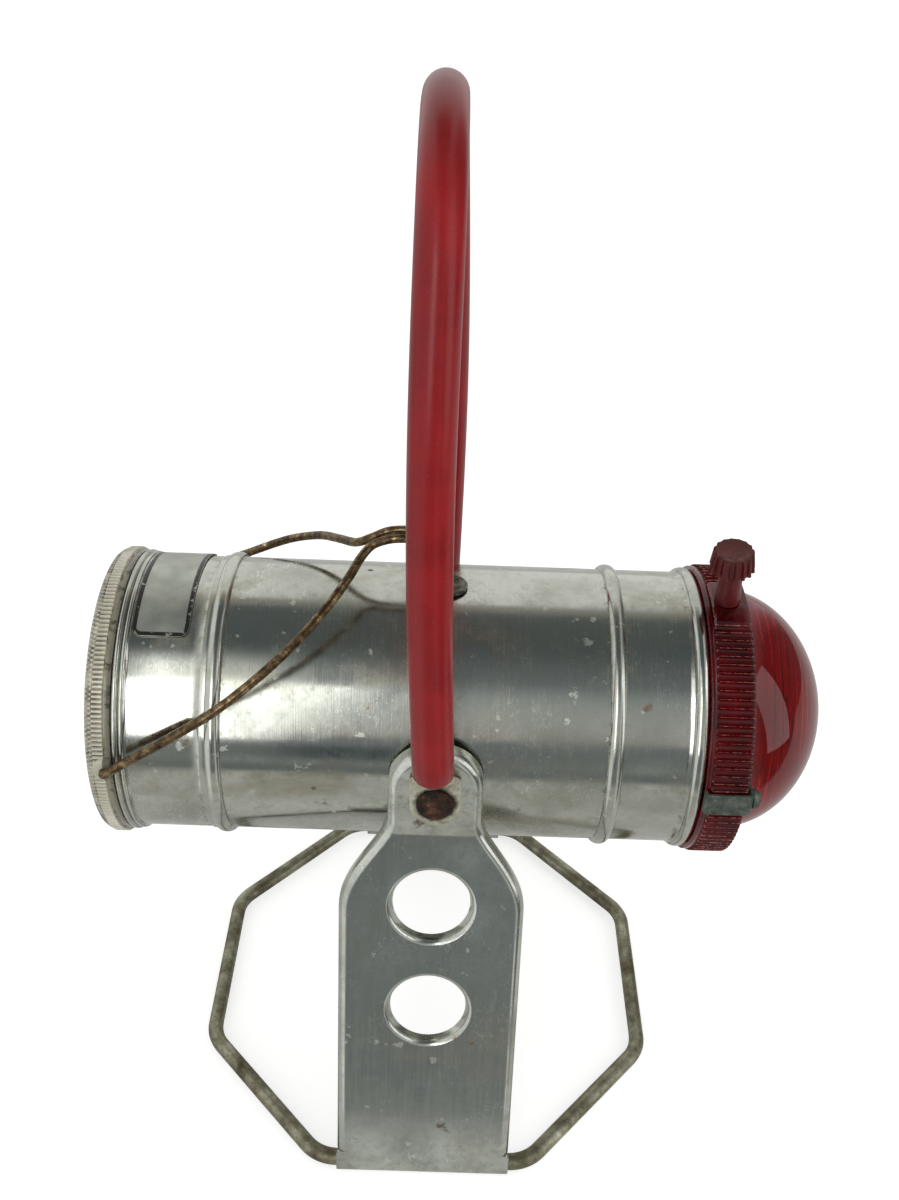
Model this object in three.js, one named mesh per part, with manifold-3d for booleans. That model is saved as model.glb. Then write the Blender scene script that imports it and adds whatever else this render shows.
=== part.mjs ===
// Emergency flashing lantern: an aluminium tube lamp with a clear beam lens at one end and a red
// flashing dome at the other, hung on two rivets between splayed stand plates on a wire ring.
// Millimetres, +Z up, +X along the tube towards the red dome, -Y towards the front plate.
// The origin lies on the surface the stand rests on, under the middle of the lantern's length.

import * as THREE from 'three';
import { mergeVertices } from 'three/addons/utils/BufferGeometryUtils.js';
import Module from 'manifold-3d';

const wasm = await Module();
wasm.setup();

// Fits shared by all pieces
const gap = 0.3;              // clearance between neighbouring pieces
const cutOver = 2;            // how far a cutter runs past what it cuts
const sheet = 1.2;            // stand plate and clip sheet thickness

// Tube, measured from the pivot
const tubeRadius = 50.8;
const tubeWall = 0.9;
const clearEnd = 110.8;       // pivot to the tube's clear end
const redEnd = 92.2;          // pivot to the tube's red end
const beadHeight = 1.9;
const beadWidth = 5.4;
const clearBeadSet = 34.1;    // bead from the clear end
const clearBeadStep = 2;      // low step beside the bead on the clear side
const redBeadSet = 30.9;      // bead from the red end
const stepHeight = 0.5;
const rimHeight = 1.8;
const rimWidth = 4.3;
const rimFlare = 1.6;
const plugAt = 2;             // top plug, from the pivot towards the red end
const plugRadius = 7.2;
const plugHole = 5.3;
const plugRise = 0.9;

// Clear lens cap
const clearRimStand = 2.7;    // rib crests past the tube's outside
const clearRibDepth = 1.1;
const clearRibs = 45;
const clearBand = 3.7;        // ribbed band
const clearCone = 3.1;        // tapering front of the rim
const clearConeDrop = 1.7;
const clearGroove = 2.3;      // plain groove next to the tube
const clearWall = 3.1;
const lensThickness = 2.2;
const lensSet = 2.4;          // lens edge behind the rim's front
const lensCrown = 1.6;
const rabbet = 1.1;           // seat for a clamped flange
const flangeThickness = 0.8;

// Beam reflector, bulbs and sockets
const reflectorRim = 3.6;     // clamped rim outside the dish
const reflectorDepth = 37;
const neckRadius = 7.5;
const neckLength = 5;
const socketWall = 2.1;
const socketLength = 18;
const bulbBaseRadius = 4.8;
const bulbBaseLength = 17.4;
const bulbRadius = 5.6;
const bulbLength = 14.5;

// Battery bay
const boardThickness = 2;
const batteryRoom = 3.7;      // battery's corners to the liner, with the battery in the middle
const batteryLong = 100;
const batteryCorner = 6;
const terminalShare = 0.8;    // corner terminal's place on the way to the battery's corner
const terminalHeight = 14.2;
const terminalWide = 5.6;     // coil radius at the battery
const terminalNarrow = 3.6;   // coil radius at the tip
const terminalTurns = 3;
const springWire = 1.3;
const contactThickness = 0.4;
const contactSize = 15;
const linerWall = 1;
const bowWidth = 18;
const bowSpan = 30;
const bowThickness = 0.8;

// Red lens ring and dome
const ringStand = 3.2;        // rib crests past the tube's outside
const ringRibDepth = 1.3;
const ringRibs = 64;
const ringLength = 15.3;
const ringFlange = 1.9;       // smooth flange next to the tube
const ringWall = 2.9;
const ringLip = 1.9;
const domeReach = 38.4;       // dome centre plane to its tip
const domeWall = 2.2;
const domeRim = 4;            // flange outside the dome
const domeFlangeThickness = 1.4;
const snapHeight = 0.7;

// Switch on the red ring
const knobSet = 8;            // switch stem from the tube's red end
const knobTurn = 7.6;         // degrees from the top towards the front
const knobLean = 4.3;         // degrees towards the tube
const padRise = 0.7;          // smooth saddle for the stem, above the rib crests
const padHalfAngle = 11.6;    // degrees
const stemLength = 14;
const stemFoot = 4.5;
const stemTop = 3.9;
const knobHeight = 7.8;
const knobSkirt = 6.9;        // skirt radius
const knobCrown = 5.8;        // radius at the top face
const knobFlutes = 16;
const fluteDepth = 0.7;
const knobDish = 0.6;
const knobDishShare = 0.8;    // dish radius as a share of the top's
const shaftRadius = 3;
const shaftLength = 16.6;
const camRadius = 4.6;
const camThickness = 2.4;
const bladeWidth = 6;
const bladeThickness = 0.5;
const bladeFoot = 8;
const bladeReach = 9;

// Clip over the red ring
const clipWidth = 8.8;
const clipRise = 1.4;         // clip centre above the tube's axis
const clipTab = 7.4;          // tab turned down over the ring's front
const clipScrewInset = 2.7;   // screw axis below the ring's crest
const clipScrewRadius = 1.1;
const clipHeadRadius = 3.5;
const clipHeadHeight = 2.9;
const clipHeadShares = [[0, 1], [0.5, 0.9], [1, 0.45]]; // dome of the head, shares of height and radius
const clipScrewLength = 6;

// Label plate
const labelSet = 4.9;         // label's outer edge from the tube's clear end
const labelWidth = 19.5;
const labelFront = 27.6;      // along the tube's curve, from the top towards the front
const labelBack = 37.5;
const labelThickness = 0.4;

// Stand
const axisHeight = 164;       // tube axis above the surface
const pivotRise = 3;          // rivets above the tube's axis
const earHalfWidth = 16.4;
const earArcRise = 3;         // centre of the ear's round top above the rivet
const earDepth = 6.6;
const creaseDrop = 17.5;      // bend below the rivet
const plateHalfWidth = 33.3;
const plateDepth = 5.6;
const bendRadius = 2.2;
const flareRise = 5;          // where the sides start to flare, above the bend
const flareStart = 3;         // handles of the flaring curve, below the bend
const flareTurn = 16;
const flareLength = 32;       // from the bend to the plate's full width
const upperHole = 30.4;       // hole centres below the bend, along the plate
const lowerHole = 75.1;
const holeMouth = 16.1;       // flared hole, at the plate's face
const holeThroat = 13.8;
const holeDepth = 5;
const holeSheet = 1;
const wireRadius = 3.175;     // base ring wire
const ringAcross = 90.8;      // base ring, middle to its straight sides
const frontHalf = 41;         // half length of the front and rear sides
const sideHalf = 37.5;
const wireBend = 16.5;
const hemHalfWidth = 34.1;
const hemCurl = 225;          // degrees of curl below level
const hemStep = 30;           // degrees between its facets
const hemClear = 7;           // side flanges stop this far above the hem

// Rivets and spacers
const rivetRadius = 3.2;
const rivetHead = 6.4;
const rivetCrown = 2.4;
const rivetTail = 5;
const tailThickness = 1.2;
const rivetShares = [[0.25, 1], [0.75, 0.7], [1, 0]]; // dome of the head, shares of crown and radius
const spacerRadius = 7.5;
const spacerLength = 5.6;

// Handle, measured from the rivets
const legOutset = 7.8;        // rod centre outside the ear, at the sleeve's ends
const legStart = 6.9;         // sleeve end above the rivet
const handleRise = 213.6;     // rod centre above the rivet at the top
const legBulge = 8.1;
const legHandleShare = 0.625; // Bezier handles, as shares of the rise and the spread
const topHandleShare = 0.953;
const handleTwist = 1.6;
const handleLean = 1.07;      // degrees towards the clear end
const rodRadius = 4.75;
const sleeveRadius = 7;
const strapHalfWidth = 8.7;
const strapThickness = 2.4;
const strapBottom = 9.8;      // strap end below the rivet
const strapStraight = 7.5;    // full width up to here, clear of the rivet head
const strapTop = 22;          // round rod from here
const strapClear = 0.45;      // sleeve to the strap

// Hanging wire
const hangerRadius = 1.6;
const hingeSet = 2.4;         // hinge from the tube's clear end
const hangerRise = 6.3;       // hinge above the tube's axis
const hangerStand = 2.5;      // arm centre past the cap's rib crests
const hangerReach = 104.6;    // hinge to the neck, along the arms
const hangerAngle = 35.3;     // degrees above the tube's axis
const hangerNeck = 2.8;       // strand centre from the middle, at the neck
const neckStraight = 9.4;     // neck in line with the arms
const neckLevel = 21;         // level end of the neck
const hangerTip = 4.8;        // turned-in end
const hangerBend = 3;
const lugRadius = 4.4;
const lugStand = 0.6;         // lug past the rib crests

// Facet counts
const roundSteps = 30;
const holeSteps = 18;
const smallSteps = 14;
const wireSides = 8;
const sleeveSides = 10;
const beadSteps = 3;
const cornerSteps = 3;
const handleSteps = 10;
const strapSteps = 4;
const strapTurns = [0, 30, 60, 80]; // degrees round the strap's end
const domeSteps = 6;
const dishSteps = 4;
const panSteps = 5;
const labelSteps = 8;
const saddleSteps = 4;
const bowSteps = 8;
const bulbSteps = 5;
const coilSteps = 8;          // per turn

// Sizes and places worked out from those above
const flangeRadius = tubeRadius + gap;
const clearRimCrest = tubeRadius + clearRimStand;
const reflectorMouth = flangeRadius - reflectorRim;
const ringCrest = tubeRadius + ringStand;
const domeFlange = ringCrest - ringRibDepth - ringWall - gap;
const domeRadius = domeFlange - domeRim;
const padHeight = ringCrest + padRise;
const earFace = tubeRadius + gap + spacerLength + gap + sheet; // outer face of an ear from the middle
const legSpread = earFace + legOutset;
const hangerSpread = clearRimCrest + hangerStand;
const hangerHinge = clearEnd + hingeSet;
const clearBeadAt = clearEnd - clearBeadSet;
const redBeadAt = redEnd - redBeadSet;
const knobAt = redEnd + knobSet;
const ringRear = redEnd + gap;
const ringFront = ringRear + ringLength;
const lipFrom = ringFront - ringLip;
const domeBase = lipFrom - gap;
const domeCentre = domeBase - domeFlangeThickness;
const clearRear = -clearEnd - gap;
const clearFront = clearRear - clearGroove - clearBand - clearCone;
const pivotX = -(clearFront + domeCentre + domeReach) / 2;
const pivotHeight = axisHeight + pivotRise;
const linerRadius = tubeRadius - tubeWall - gap;
const linerInner = linerRadius - linerWall;
const radians = THREE.MathUtils.degToRad;

const finishes = {
  aluminium: { color: 0xb9bdc0, roughness: 0.28, metalness: 1 },
  brightAluminium: { color: 0xd4d6d8, roughness: 0.12, metalness: 1 },
  redPlastic: { color: 0x8e0b14, roughness: 0.2, metalness: 0 },
  clearPlastic: { color: 0xd8d2ba, roughness: 0.2, metalness: 0 },
  redVinyl: { color: 0x8a1a20, roughness: 0.45, metalness: 0 },
  platedSteel: { color: 0x77745f, roughness: 0.5, metalness: 1 },
  darkWire: { color: 0x5b4630, roughness: 0.55, metalness: 1 },
  rustySteel: { color: 0x5d3420, roughness: 0.75, metalness: 0.6 },
  greyZinc: { color: 0x6a716b, roughness: 0.6, metalness: 0.8 },
  labelPlate: { color: 0x8f9294, roughness: 0.4, metalness: 0.7 },
  blackRubber: { color: 0x1d1b1a, roughness: 0.6, metalness: 0 },
  springSteel: { color: 0x8d8f90, roughness: 0.35, metalness: 1 },
  brass: { color: 0xb08d4c, roughness: 0.35, metalness: 1 },
  fibre: { color: 0x5c4030, roughness: 0.8, metalness: 0 },
  cardboard: { color: 0x8f8468, roughness: 0.85, metalness: 0 },
  batteryJacket: { color: 0x2f3f57, roughness: 0.6, metalness: 0 },
  glass: { color: 0xf2f2ee, roughness: 0.05, metalness: 0 },
};

// Position-only copy with shared vertices and no empty triangles
function merged(geometry) {
  const bare = geometry.clone();
  bare.deleteAttribute('normal');
  bare.deleteAttribute('uv');
  const joined = mergeVertices(bare, gap / 1000);
  const index = joined.index.array;
  const kept = [];
  for (let i = 0; i < index.length; i += 3) {
    const [a, b, c] = [index[i], index[i + 1], index[i + 2]];
    if (a !== b && b !== c && c !== a) kept.push(a, b, c);
  }
  joined.setIndex(kept);
  return joined;
}

function toSolid(geometry) {
  const joined = geometry.attributes.normal ? merged(geometry) : geometry;
  return new wasm.Manifold(new wasm.Mesh({
    numProp: 3,
    vertProperties: new Float32Array(joined.attributes.position.array),
    triVerts: new Uint32Array(joined.index.array),
  }));
}

function toGeometry(solid) {
  const mesh = solid.getMesh();
  const geometry = new THREE.BufferGeometry();
  geometry.setAttribute('position', new THREE.BufferAttribute(new Float32Array(mesh.vertProperties), 3));
  geometry.setIndex(new THREE.BufferAttribute(new Uint32Array(mesh.triVerts), 1));
  return geometry;
}

function join(first, ...others) {
  return toGeometry(others.reduce((sum, next) => sum.add(toSolid(next)), toSolid(first)));
}

function cut(body, ...tools) {
  return toGeometry(tools.reduce((rest, next) => rest.subtract(toSolid(next)), toSolid(body)));
}

// Profile of [x, radius] points turned round the X axis; it closes on the axis or on itself
function turned(profile, steps = roundSteps) {
  const points = profile.map(([x, radius]) => new THREE.Vector2(radius, x));
  const onAxis = points[0].x === 0 && points[points.length - 1].x === 0;
  if (!onAxis) points.push(points[0].clone());
  if (THREE.ShapeUtils.area(points) < 0) points.reverse();
  const geometry = new THREE.LatheGeometry(points, steps);
  geometry.rotateZ(-Math.PI / 2);
  return merged(geometry);
}

// The same, with the profile's x along +Z
function turnedUp(profile, steps = smallSteps) {
  return turned(profile, steps).rotateY(-Math.PI / 2);
}

// The same, with the profile's x along -Y
function turnedOut(profile, steps = smallSteps) {
  return turned(profile, steps).rotateZ(-Math.PI / 2);
}

function rod(from, to, radius) {
  return [[from, 0], [from, radius], [to, radius], [to, 0]];
}

// Points of a rounded bead standing on a radius
function bead(at, width, height, base) {
  return Array.from({ length: beadSteps + 1 }, (_, i) => {
    const angle = Math.PI * i / beadSteps;
    return [at - Math.cos(angle) * width / 2, base + Math.sin(angle) * height];
  });
}

function circlePoints(radius, steps) {
  return Array.from({ length: steps }, (_, i) => {
    const angle = 2 * Math.PI * i / steps;
    return new THREE.Vector2(Math.cos(angle) * radius, Math.sin(angle) * radius);
  });
}

// Lays a shape's x along -Z and its y along +Y, and its depth along +X
function alongTube(shape, from, to) {
  const geometry = new THREE.ExtrudeGeometry(shape, {
    depth: to - from, bevelEnabled: false, curveSegments: cornerSteps,
  });
  return geometry.rotateY(Math.PI / 2).translate(from, 0, 0);
}

// Ring with pointed ribs, crest and root in turn
function ribbedRing(from, to, crest, root, inner, ribs) {
  const outline = Array.from({ length: ribs * 2 }, (_, i) => {
    const angle = Math.PI * i / ribs;
    const radius = i % 2 === 0 ? crest : root;
    return new THREE.Vector2(Math.cos(angle) * radius, Math.sin(angle) * radius);
  });
  const shape = new THREE.Shape(outline);
  shape.holes.push(new THREE.Path(circlePoints(inner, roundSteps)));
  return alongTube(shape, from, to);
}

// Curved band over the tube, from an angle at the back to one at the front
function arcBand(from, to, inner, outer, back, front, steps) {
  const arc = (radius) => Array.from({ length: steps + 1 }, (_, i) => {
    const angle = radians(THREE.MathUtils.lerp(-back, front, i / steps));
    return new THREE.Vector2(-Math.cos(angle) * radius, -Math.sin(angle) * radius);
  });
  return alongTube(new THREE.Shape([...arc(inner), ...arc(outer).reverse()]), from, to);
}

function block(from, to) {
  const size = to.map((value, i) => value - from[i]);
  return new THREE.BoxGeometry(...size).translate(...from.map((value, i) => value + size[i] / 2));
}

// Outline of a strip of sheet along a bent centre line
function stripShape(line, thickness) {
  const points = line.map(([x, y]) => new THREE.Vector2(x, y));
  const sides = [[], []];
  points.forEach((point, i) => {
    const before = points[Math.max(i - 1, 0)];
    const after = points[Math.min(i + 1, points.length - 1)];
    const inward = point.clone().sub(before).normalize();
    const outward = after.clone().sub(point).normalize();
    const along = inward.clone().add(outward).normalize();
    const reach = thickness / 2 / along.dot(i === 0 ? outward : inward);
    sides[0].push(new THREE.Vector2(point.x - along.y * reach, point.y + along.x * reach));
    sides[1].unshift(new THREE.Vector2(point.x + along.y * reach, point.y - along.x * reach));
  });
  return new THREE.Shape([...sides[0], ...sides[1]]);
}

function strip(line, thickness, width) {
  const shape = stripShape(line, thickness);
  const geometry = new THREE.ExtrudeGeometry(shape, { depth: width, bevelEnabled: false });
  return geometry.translate(0, 0, -width / 2);
}

// Curve whose extrusion has one ring of vertices at each given point
class StationCurve extends THREE.Curve {
  constructor(points) {
    super();
    this.points = points;
  }

  getPoint(t, target = new THREE.Vector3()) {
    const place = t * (this.points.length - 1);
    const i = Math.min(Math.floor(place), this.points.length - 2);
    return target.copy(this.points[i]).lerp(this.points[i + 1], place - i);
  }

  getPointAt(u, target) {
    return this.getPoint(u, target);
  }

  getTangentAt(u, target) {
    return this.getTangent(u, target);
  }
}

function wire(points, radius, sides = wireSides, bore = 0) {
  const shape = new THREE.Shape(circlePoints(radius, sides));
  if (bore > 0) shape.holes.push(new THREE.Path(circlePoints(bore, sides)));
  return new THREE.ExtrudeGeometry(shape, {
    steps: points.length - 1, extrudePath: new StationCurve(points), bevelEnabled: false,
  });
}

// Rounds the corners of a path in the XY plane with arcs of one radius
function roundedPath(corners, radius) {
  const points = [corners[0]];
  for (let i = 1; i < corners.length - 1; i += 1) {
    const inward = corners[i].clone().sub(corners[i - 1]).normalize();
    const outward = corners[i + 1].clone().sub(corners[i]).normalize();
    const turn = inward.angleTo(outward);
    const back = radius * Math.tan(turn / 2);
    const side = outward.clone().addScaledVector(inward, -Math.cos(turn)).normalize();
    const start = corners[i].clone().addScaledVector(inward, -back);
    for (let k = 0; k <= cornerSteps; k += 1) {
      const angle = turn * k / cornerSteps;
      points.push(start.clone()
        .addScaledVector(inward, Math.sin(angle) * radius)
        .addScaledVector(side, (1 - Math.cos(angle)) * radius));
    }
  }
  points.push(corners[corners.length - 1]);
  return points;
}

const lantern = new THREE.Group();
const stand = new THREE.Group();
const lamp = new THREE.Group();
const handle = new THREE.Group();
lantern.position.x = pivotX;
lamp.position.z = axisHeight;
handle.position.z = pivotHeight;
handle.rotation.y = -radians(handleLean);
lantern.add(stand, lamp, handle);

function addPiece(group, name, geometry, finish) {
  const shape = geometry.attributes.normal ? merged(geometry) : geometry;
  const mesh = new THREE.Mesh(shape, new THREE.MeshStandardMaterial(finishes[finish]));
  mesh.name = name;
  group.add(mesh);
}

// Tube with its two beads and rolled rims
function makeTube() {
  const inner = tubeRadius - tubeWall;
  const step = tubeRadius + stepHeight;
  const curl = rimHeight - stepHeight;
  const shoulder = -clearBeadAt - beadWidth / 2 - clearBeadStep;
  const shell = turned([
    [-clearEnd, inner],
    ...bead(-clearEnd + rimWidth / 4, rimWidth / 2, curl, step),
    [-clearEnd + rimWidth, step],
    [-clearEnd + rimWidth, tubeRadius],
    [shoulder, tubeRadius],
    [shoulder, step],
    [shoulder + clearBeadStep, step],
    ...bead(-clearBeadAt, beadWidth, beadHeight, tubeRadius).slice(1),
    ...bead(redBeadAt, beadWidth, beadHeight, tubeRadius),
    [redEnd - rimWidth - rimFlare, tubeRadius],
    ...bead(redEnd - rimWidth / 2, rimWidth, curl, step),
    [redEnd, inner],
  ]);
  const rivetHole = turnedOut(rod(-tubeRadius - cutOver, tubeRadius + cutOver, rivetRadius + gap));
  rivetHole.translate(0, 0, pivotRise);
  const topHole = turnedUp(rod(0, tubeRadius + cutOver, plugHole));
  topHole.translate(plugAt, 0, 0);
  return cut(shell, rivetHole, topHole);
}

function makeTopPlug() {
  const seat = tubeRadius + gap;
  const skirt = plugHole - gap;
  const plug = turnedUp([
    [tubeRadius - tubeWall, 0],
    [tubeRadius - tubeWall, skirt],
    [seat, skirt],
    [seat, plugRadius - plugRise / 2],
    [seat + plugRise / 2, plugRadius],
    [seat + plugRise, plugRadius - plugRise],
    [seat + plugRise / 2, skirt],
    [seat + plugRise / 4, 0],
  ]);
  return plug.translate(plugAt, 0, 0);
}

// Label plate lying on the tube's shoulder
function makeLabel() {
  const inner = tubeRadius + gap;
  const [back, front] = [labelBack, labelFront].map((length) => length / inner / radians(1));
  const from = -clearEnd + labelSet;
  return arcBand(from, from + labelWidth, inner, inner + labelThickness, back, front, labelSteps);
}

// Clear lens cap, one moulding: ribbed rim, hinge lugs and lens
function makeClearCap() {
  const root = clearRimCrest - clearRibDepth;
  const under = root - gap;
  const bandTo = clearRear - clearGroove;
  const bandFrom = bandTo - clearBand;
  const inner = root - clearWall;
  const lensFront = clearFront + lensSet;
  const lensBack = lensFront + lensThickness;
  const seat = flangeRadius + gap;
  const body = turned([
    [lensFront - lensCrown, 0],
    [lensFront - lensCrown * 3 / 4, inner / 2],
    [lensFront, inner - clearConeDrop],
    [clearFront, inner - clearConeDrop / 2],
    [clearFront, root - clearConeDrop],
    [bandFrom, root],
    [bandFrom + gap, under],
    [clearRear, under],
    [clearRear, seat],
    [clearRear - rabbet, seat],
    [clearRear - rabbet, inner],
    [lensBack, inner],
    [lensBack - lensCrown * 3 / 4, inner / 2],
    [lensBack - lensCrown, 0],
  ]);
  const ribs = ribbedRing(bandFrom, bandTo, clearRimCrest, root, root - clearWall / 2, clearRibs);
  const lugHeight = clearRimCrest + lugStand;
  const lug = turnedOut(rod(-lugHeight, lugHeight, lugRadius)).translate(-hangerHinge, 0, hangerRise);
  const reach = clearRimCrest + lugHeight;
  const hollow = turned([
    [clearFront - cutOver, 0], [clearFront - cutOver, inner + clearWall / 2],
    [clearRear - rabbet, inner + clearWall / 2], [clearRear - rabbet, seat],
    [clearRear + lugRadius, seat], [clearRear + lugRadius, 0],
  ]);
  const behind = block([clearRear, -reach, -reach], [clearRear + lugRadius * 2, reach, reach]);
  const lugs = cut(lug, hollow, behind);
  const bores = [-1, 1].map((side) => {
    const bore = turnedOut(rod(hangerSpread - hangerTip - gap, lugHeight + cutOver, hangerRadius + gap));
    if (side > 0) bore.rotateZ(Math.PI);
    return bore.translate(-hangerHinge, 0, hangerRise);
  });
  return cut(join(body, ribs, lugs), ...bores);
}

// Spun beam reflector with a clamped flange and a neck for the socket
const reflectorFace = clearRear - flangeThickness;
const reflectorApex = reflectorFace + reflectorDepth;
const neckEnd = reflectorApex + neckLength;
function makeReflector() {
  const dish = Array.from({ length: dishSteps + 1 }, (_, i) => {
    const radius = THREE.MathUtils.lerp(neckRadius, reflectorMouth, i / dishSteps);
    return [reflectorApex - reflectorDepth * (radius / reflectorMouth) ** 2, radius];
  });
  const back = dish.slice(1).reverse().map(([x, radius]) => [x + flangeThickness, radius + flangeThickness / 2]);
  return turned([
    [neckEnd, neckRadius],
    ...dish,
    [reflectorFace, flangeRadius],
    [reflectorFace + flangeThickness, flangeRadius],
    ...back,
    [reflectorApex + flangeThickness, neckRadius + flangeThickness],
    [neckEnd, neckRadius + flangeThickness],
  ]);
}

// Bulb holder: a cup whose mouth faces its bulb
const socketBore = bulbBaseRadius + gap;
const socketOuter = neckRadius - gap;
const beamMouth = neckEnd - socketLength / 2;
const beamSocketEnd = beamMouth + socketLength;
const beamSeat = beamSocketEnd - socketWall - gap;
function makeBeamSocket() {
  const floor = beamSocketEnd - socketWall;
  return turned([
    [floor, 0], [floor, socketBore], [beamMouth, socketBore], [beamMouth, socketOuter],
    [beamSocketEnd, socketOuter], [beamSocketEnd, 0],
  ], smallSteps);
}

function makeBulbBase(seat, direction) {
  const end = seat + direction * bulbBaseLength;
  return turned([
    [seat, 0], [seat, bulbBaseRadius / 2], [seat + direction * bulbBaseRadius / 2, bulbBaseRadius],
    [end, bulbBaseRadius], [end, 0],
  ], smallSteps);
}

function makeBulbGlass(seat, direction) {
  const foot = seat + direction * (bulbBaseLength + gap);
  const centre = foot + direction * (bulbLength - bulbRadius);
  const shoulderAngle = 110;
  const ball = Array.from({ length: bulbSteps }, (_, i) => {
    const angle = radians(shoulderAngle * (1 - i / bulbSteps));
    return [centre + direction * Math.cos(angle) * bulbRadius, Math.sin(angle) * bulbRadius];
  });
  const tip = centre + direction * bulbRadius;
  return turned([[foot, 0], [foot, bulbBaseRadius - gap], ...ball, [tip, 0]], smallSteps);
}

// Battery bay, from the contact board to the bow spring behind the battery
const boardFrom = beamSocketEnd + gap;
const boardTo = boardFrom + boardThickness;
const contactTo = boardTo + gap + contactThickness;
const batteryFrom = contactTo + gap + terminalHeight + gap;
const batteryTo = batteryFrom + batteryLong;
const batteryInset = (linerInner - batteryRoom - batteryCorner) / Math.SQRT2;
const cornerReach = linerInner * Math.cos(Math.PI / roundSteps) - gap - batteryCorner;
const batteryDrop = Math.sqrt(cornerReach ** 2 - batteryInset ** 2) - batteryInset;
const terminalOffset = batteryInset * terminalShare;

function makeBattery() {
  const outline = new THREE.Shape();
  for (const [quarter, sideX, sideY] of [[0, 1, 1], [1, -1, 1], [2, -1, -1], [3, 1, -1]]) {
    const from = quarter * Math.PI / 2;
    outline.absarc(sideX * batteryInset, sideY * batteryInset, batteryCorner, from, from + Math.PI / 2);
  }
  outline.closePath();
  return alongTube(outline, batteryFrom, batteryTo).translate(0, 0, -batteryDrop);
}

function makeContact(y, z) {
  const half = contactSize / 2;
  return block([boardTo + gap, y - half, z - half], [contactTo, y + half, z + half]);
}

// Conical coil terminal, one unbroken wire
function coilPoints(y, z) {
  const steps = coilSteps * terminalTurns;
  return Array.from({ length: steps + 1 }, (_, i) => {
    const angle = 2 * Math.PI * terminalTurns * i / steps;
    const radius = THREE.MathUtils.lerp(terminalWide, terminalNarrow, i / steps);
    const rise = (terminalHeight - springWire) * i / steps;
    return new THREE.Vector3(
      batteryFrom - gap - springWire / 2 - rise,
      y + Math.cos(angle) * radius,
      z + Math.sin(angle) * radius,
    );
  });
}

// Least gap between turns of a coil, measured on its points
function coilGap(points) {
  let least = Infinity;
  points.forEach((point, i) => {
    for (const other of points.slice(i + 1 + coilSteps / 2)) least = Math.min(least, point.distanceTo(other) - springWire);
  });
  return least;
}

function makeLiner() {
  const from = boardTo + gap;
  const to = redEnd - gap;
  const shell = turned([[from, linerInner], [from, linerRadius], [to, linerRadius], [to, linerInner]]);
  const tailHole = turnedOut(rod(-tubeRadius, tubeRadius, rivetTail + gap * 2), holeSteps);
  return cut(shell, tailHole.translate(0, 0, pivotRise));
}

const flasherFrom = redEnd + gap;
const flasherTo = flasherFrom + flangeThickness;
function makeBowSpring() {
  const from = batteryTo + gap + bowThickness / 2;
  const to = flasherFrom - gap - bowThickness / 2;
  const bow = Array.from({ length: bowSteps + 1 }, (_, i) => {
    const share = i / bowSteps * 2 - 1;
    return [from + (to - from) * share ** 2, share * bowSpan * 3 / 4];
  });
  return strip([[to, -bowSpan], ...bow, [to, bowSpan]], bowThickness, bowWidth);
}

// Flasher end: mounting plate, then the red ring and the dome it holds
function makeFlasherPlate() {
  return turned([
    [flasherFrom, socketBore], [flasherFrom, flangeRadius], [flasherTo, flangeRadius], [flasherTo, socketBore],
  ]);
}

const socketFoot = flasherTo + gap;
const flasherMouth = socketFoot + socketLength * 2 / 3;
function makeFlasherSocket() {
  const foot = flasherFrom - gap;
  const floor = socketFoot + socketWall;
  return turned([
    [foot, 0], [foot, bulbBaseRadius], [socketFoot, bulbBaseRadius], [socketFoot, socketOuter],
    [flasherMouth, socketOuter], [flasherMouth, socketBore], [floor, socketBore], [floor, 0],
  ], smallSteps);
}

// Stem axis of the switch: +Z points out of the ring, zero is the saddle's face
const switchFrame = new THREE.Matrix4().makeRotationX(radians(knobTurn))
  .multiply(new THREE.Matrix4().makeTranslation(knobAt, 0, padHeight))
  .multiply(new THREE.Matrix4().makeRotationY(-radians(knobLean)));

const clipInner = ringCrest + gap;
const clipScrewAt = ringCrest - clipScrewInset;
function makeRedRing() {
  const root = ringCrest - ringRibDepth;
  const under = root - gap;
  const inner = root - ringWall;
  const seat = flangeRadius + gap;
  const flange = root + ringRibDepth / 2;
  const snapTo = lipFrom - domeFlangeThickness - gap * 2;
  const body = turned([
    [ringRear, seat], [ringRear, flange], [ringRear + ringFlange, flange], [ringRear + ringFlange, under],
    [ringFront, under], [ringFront, domeRadius + gap], [lipFrom, domeRadius + gap], [lipFrom, domeFlange + gap],
    [snapTo, domeFlange + gap], [snapTo, domeFlange - snapHeight], [snapTo - snapHeight, domeFlange - snapHeight],
    [snapTo - snapHeight * 2, inner], [flasherTo + gap, inner], [flasherTo + gap, seat],
  ]);
  const middle = root - ringWall / 2;
  const ribs = ribbedRing(ringRear + ringFlange / 2, ringFront, ringCrest, root, middle, ringRibs);
  const saddle = arcBand(ringRear + ringFlange / 2, ringFront, middle, padHeight,
    padHalfAngle - knobTurn, padHalfAngle + knobTurn, saddleSteps);
  const bore = turnedUp(rod(-ringCrest / 4, cutOver, shaftRadius + gap)).applyMatrix4(switchFrame);
  const half = clipWidth / 2 + gap;
  const notch = block(
    [ringRear - cutOver, -ringCrest - cutOver, clipRise - half],
    [ringRear + sheet + gap, -flangeRadius, clipRise + half],
  );
  const screwHole = turned(rod(ringFront - clipScrewLength - gap, ringFront + cutOver, clipScrewRadius + gap),
    smallSteps).translate(0, -clipScrewAt, clipRise);
  return cut(join(body, ribs, saddle), bore, notch, screwHole);
}

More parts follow.
